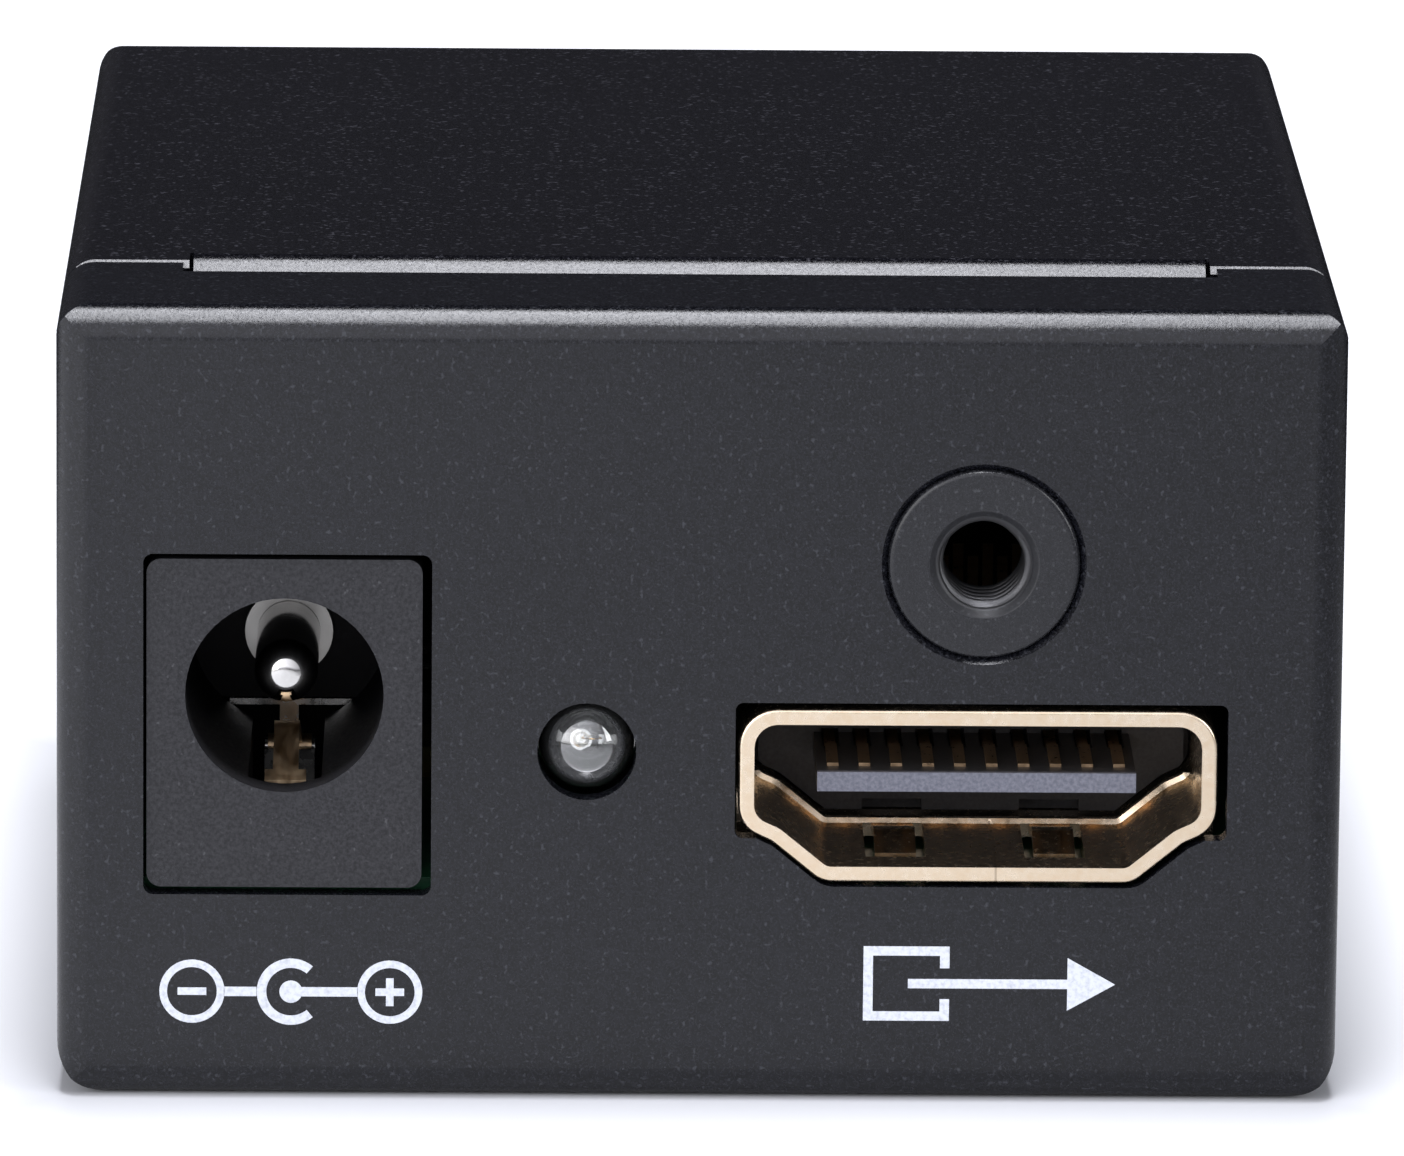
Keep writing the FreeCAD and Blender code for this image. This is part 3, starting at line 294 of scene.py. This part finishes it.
class Finish(Wiring):
    """A Principled material with helpers for its procedural colour, roughness and bump."""

    def __init__(self, name, metallic=0.0, roughness=0.5, specular=0.5):
        self.material = bpy.data.materials.new(name)
        self.material.use_nodes = True
        super().__init__(self.material.node_tree)
        self.shader = self.tree.nodes["Principled BSDF"]
        self.set("Metallic", metallic)
        self.set("Roughness", roughness)
        self.set("Specular IOR Level", specular)
        self.where = self.tree.nodes.new("ShaderNodeTexCoord").outputs["Object"]

    def set(self, socket, value):
        self.shader.inputs[socket].default_value = value

    def source_of(self, socket):
        """The output that feeds a socket of the shader."""
        return self.shader.inputs[socket].links[0].from_socket

    def axis(self, name):
        return self.split(self.where)[name]

    def noise(self, size_mm, detail=3.0, roughness=0.55, stretch=None):
        """Noise whose lumps are about size_mm across; stretch scales each axis."""
        place = self.where
        if stretch:
            mapping = self.tree.nodes.new("ShaderNodeMapping")
            mapping.inputs["Scale"].default_value = stretch
            self.link(place, mapping.inputs["Vector"])
            place = mapping.outputs["Vector"]
        node = self.tree.nodes.new("ShaderNodeTexNoise")
        node.inputs["Scale"].default_value = 1.0 / (size_mm * MM)
        node.inputs["Detail"].default_value = detail
        node.inputs["Roughness"].default_value = roughness
        self.link(place, node.inputs["Vector"])
        return node.outputs["Fac"]

    def colour(self, source):
        self.link(source, self.shader.inputs["Base Color"])

    def rough(self, source):
        self.link(source, self.shader.inputs["Roughness"])

    def bump(self, height, strength, depth_mm):
        """Adds a bump on top of the ones that are there."""
        node = self.tree.nodes.new("ShaderNodeBump")
        node.inputs["Strength"].default_value = strength
        node.inputs["Distance"].default_value = depth_mm * MM
        self.link(height, node.inputs["Height"])
        if self.shader.inputs["Normal"].links:
            self.link(self.source_of("Normal"), node.inputs["Normal"])
        self.link(node.outputs["Normal"], self.shader.inputs["Normal"])


def powder_coat(name, dark, light, speck, grain_mm=0.09, mottle=0.35):
    """Satin powder coat: fine orange peel, a mottled tone and many small pale specks."""
    coat = Finish(name, roughness=0.24)
    grain = coat.noise(grain_mm, detail=4.0, roughness=0.7)
    patch = coat.noise(0.35, roughness=0.6)
    cloud = coat.noise(6.0, detail=2.0)
    tone = coat.ramp(grain, [(0.45, dark), (0.62, light)])
    tone = coat.mix(coat.spread(patch, 0.0, mottle, over=(0.46, 0.60)), tone, light)
    tone = coat.mix(coat.spread(cloud, 0.0, 0.12), tone, light)
    dots = coat.noise(0.16, detail=1.0, roughness=0.3)
    coat.colour(coat.mix(coat.spread(dots, 0.0, 0.9, over=(0.64, 0.76)), tone, speck))
    coat.rough(coat.spread(grain, 0.15, 0.35, over=(0.42, 0.68)))
    coat.bump(grain, strength=0.7, depth_mm=0.010)
    coat.bump(coat.noise(0.7, detail=2.0), strength=0.25, depth_mm=0.02)
    return coat


def moulded(name, dark, light):
    """Plain moulded plastic or resin with a fine grain."""
    plastic = Finish(name, specular=0.45)
    grain = plastic.noise(0.15)
    plastic.colour(plastic.ramp(grain, [(0.32, dark), (0.70, light)]))
    plastic.rough(plastic.spread(grain, 0.43, 0.57))
    plastic.bump(grain, strength=0.3, depth_mm=0.01)
    return plastic


def metal(name, dark, light, roughness=0.25, grain_mm=0.3, stretch=None):
    """Bare or plated metal; stretch draws its grain out along one axis."""
    finish = Finish(name, metallic=1.0, roughness=roughness)
    grain = finish.noise(grain_mm, stretch=stretch)
    finish.colour(finish.ramp(grain, [(0.30, dark), (0.70, light)]))
    finish.rough(finish.spread(grain, roughness * 0.75, roughness * 1.3))
    finish.bump(grain, strength=0.15, depth_mm=0.006)
    return finish


def lens_resin():
    """Clear epoxy with a faint swirl; its coat strengthens the highlights."""
    resin = Finish("clear_epoxy", roughness=0.03)
    resin.set("Transmission Weight", 0.95)
    resin.set("IOR", 1.52)
    resin.set("Coat Weight", 1.0)
    resin.set("Coat IOR", 2.1)
    swirl = resin.noise(1.2, detail=1.0)
    resin.colour(resin.ramp(swirl, [(0.3, (0.93, 0.97, 0.95)), (0.7, (0.99, 1.0, 0.99))]))
    resin.rough(resin.spread(swirl, 0.01, 0.05))
    return resin


def insulator_plastic():
    """Dark moulding whose blade's front end is painted a lighter blue-grey: a painted highlight.
    """
    highlight_depth = 1.6 * MM
    highlight_fade = 0.25 * MM
    plastic = Finish("port_moulding", roughness=0.48, specular=0.2)
    grain = plastic.noise(0.12)
    deep = plastic.ramp(grain, [(0.3, (0.022, 0.022, 0.024)), (0.7, (0.036, 0.036, 0.039))])
    # painted highlight: the blade's lit front end in a lighter blue-grey; deeper in, the plain
    # dark moulding
    edge = plastic.ramp(grain, [(0.35, (0.125, 0.130, 0.163)), (0.65, (0.195, 0.202, 0.243))])
    reach = plastic.math("ABSOLUTE", plastic.axis("Y"))
    highlight_start = -front - highlight_depth
    # where the painted highlight shows: the moulding's front end near the panel's face
    lit_front = plastic.spread(reach, 0.0, 1.0, over=(highlight_start, highlight_start + highlight_fade))
    plastic.colour(plastic.mix(lit_front, deep, edge))
    plastic.bump(grain, strength=0.25, depth_mm=0.008)
    return plastic


def gold_plate():
    """Gold flash over nickel, with the seam where the shell's sheet meets under the mouth."""
    seam_x = port_x + 0.6 * MM
    seam_core = 0.02 * MM
    seam_half = 0.05 * MM
    seam_strength = 0.4
    seam_top = 7.6 * MM
    seam_fade = 0.05 * MM
    gold = Finish("port_gold", metallic=1.0, roughness=0.22)
    grain = gold.noise(0.25)
    tone = gold.ramp(grain, [(0.3, (0.90, 0.72, 0.51)), (0.7, (0.98, 0.83, 0.64))])
    away = gold.math("ABSOLUTE", gold.math("SUBTRACT", gold.axis("X"), seam_x))
    low = gold.spread(gold.axis("Z"), 1.0, 0.0, over=(seam_top, seam_top + seam_fade))
    near = gold.spread(away, seam_strength, 0.0, over=(seam_core, seam_half))
    seam = gold.math("MULTIPLY", near, low)
    gold.colour(gold.mix(seam, tone, (0.16, 0.10, 0.05)))
    gold.rough(gold.spread(grain, 0.16, 0.30))
    gold.bump(grain, strength=0.18, depth_mm=0.008)
    gold.bump(seam, strength=0.5, depth_mm=-0.03)
    return gold


def laminate():
    """Green solder mask over woven laminate, with tracks that show through."""
    board = Finish("board_laminate_green", roughness=0.35)
    weave = board.noise(0.35, detail=2.0, stretch=(1.0, 0.35, 1.0))
    tone = board.ramp(weave, [(0.3, (0.010, 0.070, 0.030)), (0.7, (0.016, 0.105, 0.045))])
    tracks = board.noise(1.4, detail=0.0, stretch=(1.0, 0.2, 1.0))
    band = board.spread(tracks, 0.0, 0.5, over=(0.50, 0.52))
    board.colour(board.mix(band, tone, (0.030, 0.160, 0.075)))
    board.bump(band, strength=0.3, depth_mm=0.03)
    return board


def nut_coat():
    """Coated outside, duller round the mouth, with bare metal down the thread; the bare metal is
    painted dark as painted shade in the bore.
    """
    bare_fade = 0.03
    mouth_fade = 0.08
    mouth_roughness = 0.46
    thread_major_radius = thread_minor_radius + thread_depth
    nut = powder_coat("nut_coat", dark=(0.0085, 0.0088, 0.0105), light=(0.0170, 0.0176, 0.0210),
                      speck=(0.045, 0.047, 0.052))
    across = nut.math("SUBTRACT", nut.axis("X"), nut_centre.x)
    rise = nut.math("SUBTRACT", nut.axis("Z"), nut_centre.z)
    radius = nut.math("SQRT", nut.math("ADD", nut.math("MULTIPLY", across, across),
                                       nut.math("MULTIPLY", rise, rise)))
    bare = nut.spread(radius, 1.0, 0.0, over=((thread_major_radius - bare_fade) * MM,
                                              (thread_major_radius + bare_fade) * MM))
    # painted shade: the bare thread is far darker than bare steel, standing in for the shade in
    # the bore
    nut.colour(nut.mix(bare, nut.source_of("Base Color"), (0.15, 0.15, 0.155)))
    nut.link(bare, nut.shader.inputs["Metallic"])
    mouth = nut.spread(radius, mouth_roughness, 0.0,
                       over=(nut_mouth_radius * MM, (nut_mouth_radius + mouth_fade) * MM))
    nut.rough(nut.math("MAXIMUM", nut.source_of("Roughness"), mouth))
    return nut


def jack_moulding():
    """Grained black moulding; down the barrel it is less glossy and painted darker as painted
    shade.
    """
    barrel_start = front + 0.5 * MM
    barrel_fade = 1.1 * MM
    plastic = Finish("jack_moulding", roughness=0.42)
    grain = plastic.noise(0.12, detail=4.0, roughness=0.7)
    face = plastic.ramp(grain, [(0.38, (0.006, 0.006, 0.008)), (0.64, (0.026, 0.026, 0.030))])
    dots = plastic.spread(plastic.noise(0.18, detail=1.0), 0.0, 0.8, over=(0.70, 0.80))
    face = plastic.mix(dots, face, (0.060, 0.060, 0.066))
    # painted shade: the colour goes to near black down the barrel, where little light gets in
    barrel_shade = plastic.spread(plastic.axis("Y"), 0.0, 1.0,
                            over=(barrel_start, barrel_start + barrel_fade))
    plastic.colour(plastic.mix(barrel_shade, face, (0.003, 0.003, 0.0035)))
    plastic.rough(plastic.spread(grain, 0.34, 0.50))
    specular = plastic.spread(barrel_shade, 0.45, 0.12, over=(0.0, 1.0))
    plastic.link(specular, plastic.shader.inputs["Specular IOR Level"])
    plastic.bump(grain, strength=0.5, depth_mm=0.012)
    return plastic


def pin_nickel():
    """Polished pin with a duller collar at the barrel's floor."""
    collar_start = front + 9.2 * MM
    collar_fade = 0.15 * MM
    pin = Finish("pin_nickel", metallic=1.0)
    grain = pin.noise(0.5)
    polished = pin.ramp(grain, [(0.3, (0.70, 0.69, 0.67)), (0.7, (0.82, 0.81, 0.79))])
    collar = pin.spread(pin.axis("Y"), 0.0, 1.0, over=(collar_start, collar_start + collar_fade))
    pin.colour(pin.mix(collar, polished, (0.40, 0.39, 0.37)))
    pin.rough(pin.math("ADD", pin.spread(grain, 0.08, 0.13), pin.math("MULTIPLY", collar, 0.2)))
    pin.bump(grain, strength=0.15, depth_mm=0.006)
    return pin


def white_ink():
    """Printed white, a little uneven."""
    ink = Finish("white_ink", roughness=0.55, specular=0.3)
    grain = ink.noise(0.16)
    ink.colour(ink.ramp(grain, [(0.30, (0.52, 0.55, 0.61)), (0.55, (0.72, 0.75, 0.81))]))
    ink.bump(grain, strength=0.3, depth_mm=0.01)
    return ink


def paint(finish, *names):
    for name in names:
        mesh = nodes[name].data
        mesh.materials.clear()
        mesh.materials.append(finish.material)


def paint_case():
    paint(powder_coat("box_coat", dark=(0.0005, 0.0006, 0.0014), light=(0.0100, 0.0106, 0.0150),
                      speck=(0.032, 0.034, 0.041)),
          "lower_chassis")
    paint(powder_coat("cover_coat", dark=(0.0001, 0.0001, 0.0006), light=(0.0080, 0.0080, 0.0120),
                      speck=(0.055, 0.055, 0.066), mottle=0.25),
          "upper_cover")


def paint_connectors():
    paint(gold_plate(), "output_hdmi_shell", "input_hdmi_shell")
    paint(insulator_plastic(), "output_hdmi_insulator", "input_hdmi_insulator")
    # painted shade: the contacts' gold is darker and browner than the shell's, for the shade deep
    # in the port
    paint(metal("contact_gold_shaded", dark=(0.50, 0.34, 0.20), light=(0.66, 0.47, 0.29),
                roughness=0.34, grain_mm=0.2),
          "output_hdmi_upper_contacts", "output_hdmi_lower_contacts",
          "input_hdmi_upper_contacts", "input_hdmi_lower_contacts")
    paint(jack_moulding(), "dc_jack_housing")
    paint(pin_nickel(), "dc_jack_center_pin")
    paint(metal("spring_brass", dark=(0.90, 0.64, 0.38), light=(1.0, 0.78, 0.52),
                roughness=0.40, stretch=(1.0, 0.15, 1.0)),
          "dc_jack_sleeve_spring")


def paint_leads():
    paint(metal("terminal_tin", dark=(0.62, 0.61, 0.58), light=(0.74, 0.73, 0.70)),
          "dc_jack_sleeve_terminal", "dc_jack_switch_terminal",
          "level_shifter_leads", "voltage_regulator_leads")
    paint(metal("light_lead_tin", dark=(0.84, 0.83, 0.82), light=(0.95, 0.94, 0.92),
                roughness=0.18),
          "status_light_leads")


def paint_fasteners():
    paint(powder_coat("screw_oxide", dark=(0.018, 0.018, 0.020), light=(0.032, 0.032, 0.036),
                      speck=(0.10, 0.10, 0.11), grain_mm=0.12),
          "cover_screws")
    paint(metal("zinc_plate", dark=(0.55, 0.56, 0.58), light=(0.70, 0.71, 0.73), roughness=0.3),
          "board_standoffs", "board_screws")


def paint_board():
    paint(laminate(), "main_board")
    paint(moulded("chip_resin", dark=(0.014, 0.014, 0.015), light=(0.024, 0.024, 0.026)),
          "equalizer_chip", "level_shifter_chip", "voltage_regulator", "surge_arrays")
    paint(moulded("fuse_resin", dark=(0.20, 0.17, 0.04), light=(0.28, 0.24, 0.06)),
          "resettable_fuse")
    paint(moulded("diode_resin", dark=(0.018, 0.018, 0.018), light=(0.03, 0.03, 0.03)),
          "polarity_diode")
    paint(metal("drawn_can", dark=(0.66, 0.66, 0.67), light=(0.80, 0.80, 0.81),
                roughness=0.22, stretch=(1.0, 1.0, 0.2)),
          "bulk_capacitor")
    paint(moulded("can_base_black", dark=(0.018, 0.018, 0.018), light=(0.03, 0.03, 0.03)),
          "bulk_capacitor_base")
    paint(moulded("ceramic_tan", dark=(0.30, 0.21, 0.12), light=(0.40, 0.29, 0.18)),
          "chip_capacitors")
    paint(moulded("resistor_black", dark=(0.02, 0.02, 0.022), light=(0.035, 0.035, 0.038)),
          "chip_resistors")


# Pieces made here

def add_piece(name, mesh, finish, body="housing"):
    piece = bpy.data.objects.new(name, mesh)
    scene.collection.objects.link(piece)
    mesh.materials.clear()
    mesh.materials.append(finish.material)
    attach(piece, body)
    return piece


def new_mesh(name, verts, faces):
    mesh = bpy.data.meshes.new(name)
    mesh.from_pydata(verts, [], faces)
    mesh.update()
    return mesh


def ring_point(centre, radius, depth, angle):
    """A point round an axis along Y; radius and depth in millimetres."""
    return (centre.x + radius * MM * math.cos(angle), centre.y + depth * MM,
            centre.z + radius * MM * math.sin(angle))


def tube_faces(rows, around):
    """Faces of a tube of rings, with a cap at each end."""
    faces = []
    for i in range(rows - 1):
        for k in range(around):
            m = (k + 1) % around
            faces.append((i * around + k, i * around + m,
                          (i + 1) * around + m, (i + 1) * around + k))
    last = (rows - 1) * around
    faces.append(tuple(reversed(range(around))))
    faces.append(tuple(range(last, last + around)))
    return faces


def nut_outline():
    """Outside of the nut from the hole's mouth round to the back of the bore: (radius, depth).
    An extra ring beside an edge keeps the smooth shading off the flat faces."""
    mouth_ring = 0.06
    face_ring = 0.02
    neck_ring = 0.2
    edge_steps = 5
    round_start = nut_neck_radius - nut_edge_round
    points = [(nut_mouth_radius, 0.0), (nut_mouth_radius + mouth_ring, 0.0),
              (round_start - face_ring, 0.0)]
    for i in range(edge_steps + 1):
        angle = math.pi / 2 * i / edge_steps
        points.append((round_start + nut_edge_round * math.sin(angle),
                       nut_edge_round - nut_edge_round * math.cos(angle)))
    points += [
        (nut_neck_radius, nut_neck_length - neck_ring),
        (nut_neck_radius, nut_neck_length),
        (nut_body_radius - nut_body_edge, nut_neck_length),
        (nut_body_radius, nut_neck_length + nut_body_edge),
        (nut_body_radius, nut_length - nut_body_edge),
        (nut_body_radius - nut_body_edge, nut_length),
        (nut_back_radius, nut_length),
    ]
    return points


def bore_radius(depth, turn):
    """The thread, flat on its crests and in its roots, with a lead-in at each end."""
    phase = (depth / thread_pitch + turn) % 1.0
    flank = 1.0 - abs(phase - 0.5) * 2.0
    groove = (flank - thread_crest_flat) / (thread_root_flat - thread_crest_flat)
    groove = min(1.0, max(0.0, groove))
    lead_in = nut_mouth_radius - depth
    lead_out = nut_back_lead - (nut_length - depth)
    return max(thread_minor_radius + thread_depth * groove, lead_in, lead_out)


def threaded_nut(name, centre, face_y, inward):
    """The lock nut with its thread as one closed ring; inward is 1 or -1 along Y."""
    around = 72
    row_step = thread_pitch / 8
    rows = [[(radius, depth)] * around for radius, depth in nut_outline()]
    for i in range(int(nut_length / row_step) + 1):
        depth = nut_length - row_step * i
        rows.append([(bore_radius(depth, k / around), depth) for k in range(around)])
    face_centre = Vector((centre.x, face_y, centre.z))
    verts = []
    for row in rows:
        for k, (radius, depth) in enumerate(row):
            verts.append(ring_point(face_centre, radius, inward * depth, 2 * math.pi * k / around))
    faces = []
    for i in range(len(rows)):
        j = (i + 1) % len(rows)
        for k in range(around):
            m = (k + 1) % around
            face = (i * around + k, i * around + m, j * around + m, j * around + k)
            faces.append(face if inward < 0 else face[::-1])
    mesh = new_mesh(name, verts, faces)
    mesh.polygons.foreach_set("use_smooth", [True] * len(mesh.polygons))
    return mesh


def lock_nuts():
    finish = nut_coat()
    low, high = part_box("output_lock_nut")
    nut = add_piece("output_lock_nut_threaded",
                    threaded_nut("output_nut", nut_centre, low.y, 1), finish)
    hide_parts("output_lock_nut")
    low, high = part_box("input_lock_nut")
    centre = (low + high) / 2
    nut = add_piece("input_lock_nut_threaded",
                    threaded_nut("input_nut", centre, high.y, -1), finish)
    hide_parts("input_lock_nut")


def turned_mesh(name, profile, centre):
    """A closed turned shape about an axis along Y; profile is (radius, depth) in millimetres."""
    around = 64
    verts = [ring_point(centre, radius, depth, 2 * math.pi * k / around)
             for radius, depth in profile for k in range(around)]
    mesh = new_mesh(name, verts, tube_faces(len(profile), around))
    smooth = [len(polygon.vertices) == 4 for polygon in mesh.polygons]
    mesh.polygons.foreach_set("use_smooth", smooth)
    return mesh


def lens_profile():
    """Dome, barrel and rim of the light: (radius, depth)."""
    dome_steps = 16
    profile = []
    for i in range(1, dome_steps + 1):
        angle = math.pi / 2 * i / dome_steps
        profile.append((lens_radius * math.sin(angle),
                        lens_radius - lens_radius * math.cos(angle)))
    profile += [
        (lens_radius, lens_rim_front - lens_rim_edge),
        (lens_radius + lens_rim_edge, lens_rim_front),
        (lens_rim_radius - lens_rim_edge, lens_rim_front),
        (lens_rim_radius, lens_rim_front + lens_rim_edge),
        (lens_rim_radius, lens_length - lens_rim_edge),
        (lens_rim_radius - lens_rim_edge, lens_length),
    ]
    return profile


def die_mesh(tip):
    """The light's chip, on the floor of the reflector cup."""
    centre = Vector((-0.275, 1.85, 0.0))
    size = Vector((0.26, 0.12, 0.26))
    die = bmesh.new()
    bmesh.ops.create_cube(die, size=1.0)
    for vert in die.verts:
        vert.co = tip + (centre + vert.co * size) * MM
    mesh = bpy.data.meshes.new("die")
    die.to_mesh(mesh)
    die.free()
    return mesh


def bond_wire_mesh(tip):
    """The wire that arches from the chip to the post."""
    start = Vector((-0.235, 1.79, 0.05))
    span = 1.02
    height = 0.52
    fullness = 0.8
    sway = 0.25
    radius = 0.045
    steps = 14
    around = 8
    upright = Vector((0, 0, 1))
    verts = []
    for i in range(steps + 1):
        t = i / steps
        arch = Vector((span * t, -height * math.sin(math.pi * t) ** fullness,
                       sway * t * (1 - t)))
        run = Vector((span, -height * math.pi * math.cos(math.pi * t), 0)).normalized()
        across = run.cross(upright)
        for k in range(around):
            angle = 2 * math.pi * k / around
            offset = across * math.cos(angle) * radius + upright * math.sin(angle) * radius
            verts.append(tip + (start + arch + offset) * MM)
    return new_mesh("bond_wire", verts, tube_faces(steps + 1, around))


def light_insides():
    """The clear lens as one solid piece of resin, with the die and the bond wire in it."""
    low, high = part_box("status_light_lens")
    tip = Vector(((low.x + high.x) / 2, low.y, (low.z + high.z) / 2))
    lens = add_piece("status_light_clear_lens", turned_mesh("clear_lens", lens_profile(), tip),
                     lens_resin())
    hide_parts("status_light_lens")
    add_piece("status_light_die", die_mesh(tip),
              metal("die_gloss", dark=(0.80, 0.80, 0.74), light=(0.92, 0.92, 0.86),
                    roughness=0.3, grain_mm=0.1))
    add_piece("status_light_bond_wire", bond_wire_mesh(tip),
              metal("bond_gold", dark=(0.90, 0.50, 0.14), light=(0.98, 0.66, 0.26),
                    grain_mm=0.1))


class Marks:
    """Printed strokes on the front panel, thin closed solids in millimetres from a centre."""

    def __init__(self, x, z):
        self.x = x
        self.z = z
        self.verts = []
        self.faces = []

    def points(self, outline, depth):
        return [((self.x + u) * MM, front + depth * MM, (self.z + v) * MM) for u, v in outline]

    def shape(self, outline):
        """A flat shape; its outline runs anticlockwise seen from the front."""
        start = len(self.verts)
        count = len(outline)
        self.verts += self.points(outline, -ink_proud) + self.points(outline, ink_sunk)
        self.faces.append(tuple(range(start, start + count)))
        self.faces.append(tuple(reversed(range(start + count, start + 2 * count))))
        for i in range(count):
            j = (i + 1) % count
            self.faces.append((start + j, start + i, start + count + i, start + count + j))

    def bar(self, u0, v0, u1, v1):
        self.shape([(u0, v0), (u1, v0), (u1, v1), (u0, v1)])

    def ring(self, u, v, radius, width, start=0.0, end=360.0):
        """A stroke round a centre: a full ring, or an arc from start to end in degrees."""
        steps = 48
        inner = radius - width / 2
        outer = radius + width / 2
        whole = end - start >= 360.0
        first = len(self.verts)
        rows = steps if whole else steps + 1
        for i in range(rows):
            angle = math.radians(start + (end - start) * i / steps)
            section = [(u + reach * math.cos(angle), v + reach * math.sin(angle))
                       for reach in (inner, outer)]
            self.verts += self.points(section, -ink_proud) + self.points(section[::-1], ink_sunk)
        for i in range(steps):
            a = first + 4 * i
            b = first + 4 * ((i + 1) % rows)
            for k in range(4):
                m = (k + 1) % 4
                self.faces.append((a + k, a + m, b + m, b + k))
        if not whole:
            self.faces.append((first + 3, first + 2, first + 1, first))
            last = first + 4 * (rows - 1)
            self.faces.append((last, last + 1, last + 2, last + 3))

    def mesh(self, name):
        return new_mesh(name, self.verts, self.faces)


def power_mark():
    """Plug polarity: a minus on the left for the sleeve, a plus on the right for the pin."""
    mark = Marks(jack_x / MM + 0.23, 3.43)
    half_line = 0.15
    sign_x = 3.1
    sign_radius = 0.90
    sign_half_line = 0.12
    sign_arm = 0.45
    lead_start = 2.1
    lead_end = 1.08
    sleeve_radius = 0.92
    sleeve_open = 50
    pin_radius = 0.36
    pin_steps = 28
    for x in (-sign_x, sign_x):
        mark.ring(x, 0, sign_radius, 2 * sign_half_line)
    mark.bar(-sign_x - sign_arm, -sign_half_line, -sign_x + sign_arm, sign_half_line)
    plus = []
    quarter = [(-sign_arm, -sign_half_line), (-sign_half_line, -sign_half_line),
               (-sign_half_line, -sign_arm)]
    for _ in range(4):
        plus += quarter
        quarter = [(-v, u) for u, v in quarter]
    mark.shape([(sign_x + u, v) for u, v in plus])
    mark.ring(0, 0, sleeve_radius, 2 * half_line, sleeve_open, 360 - sleeve_open)
    mark.bar(-lead_start, -half_line, -lead_end, half_line)
    pin = []
    edge = math.degrees(math.asin(half_line / pin_radius))
    for i in range(pin_steps + 1):
        angle = math.radians(edge + (360 - 2 * edge) * i / pin_steps)
        pin.append((pin_radius * math.cos(angle), pin_radius * math.sin(angle)))
    mark.shape(pin + [(lead_start, -half_line), (lead_start, half_line)])
    return mark


def out_mark():
    """An arrow that leaves an open frame."""
    mark = Marks(port_x / MM + 0.38, 3.80)
    half_line = 0.15
    frame_left = -3.9
    frame_right = -1.2
    frame_half = 1.2
    frame_line = 0.3
    frame_gap = 0.5
    arrow_end = 2.5
    arrow_tip = 4.0
    head_half = 0.85
    inner = frame_half - frame_line
    mark.shape([
        (frame_left, -frame_half), (frame_right, -frame_half), (frame_right, -frame_gap),
        (frame_right - frame_line, -frame_gap), (frame_right - frame_line, -inner),
        (frame_left + frame_line, -inner), (frame_left + frame_line, inner),
        (frame_right - frame_line, inner), (frame_right - frame_line, frame_gap),
        (frame_right, frame_gap), (frame_right, frame_half), (frame_left, frame_half),
    ])
    mark.shape([
        (-arrow_end, -half_line), (arrow_end, -half_line), (arrow_end, -head_half),
        (arrow_tip, 0), (arrow_end, head_half), (arrow_end, half_line), (-arrow_end, half_line),
    ])
    return mark


def printed_marks():
    """Generic marks in the places of the printed words."""
    ink = white_ink()
    add_piece("power_polarity_mark", power_mark().mesh("power_mark"), ink)
    add_piece("signal_out_mark", out_mark().mesh("out_mark"), ink)


place_camera()
place_lamps()
build_studio()
make_floor()
paint_case()
paint_connectors()
paint_leads()
paint_fasteners()
paint_board()
lock_nuts()
light_insides()
printed_marks()

scene.view_settings.view_transform = "Standard"
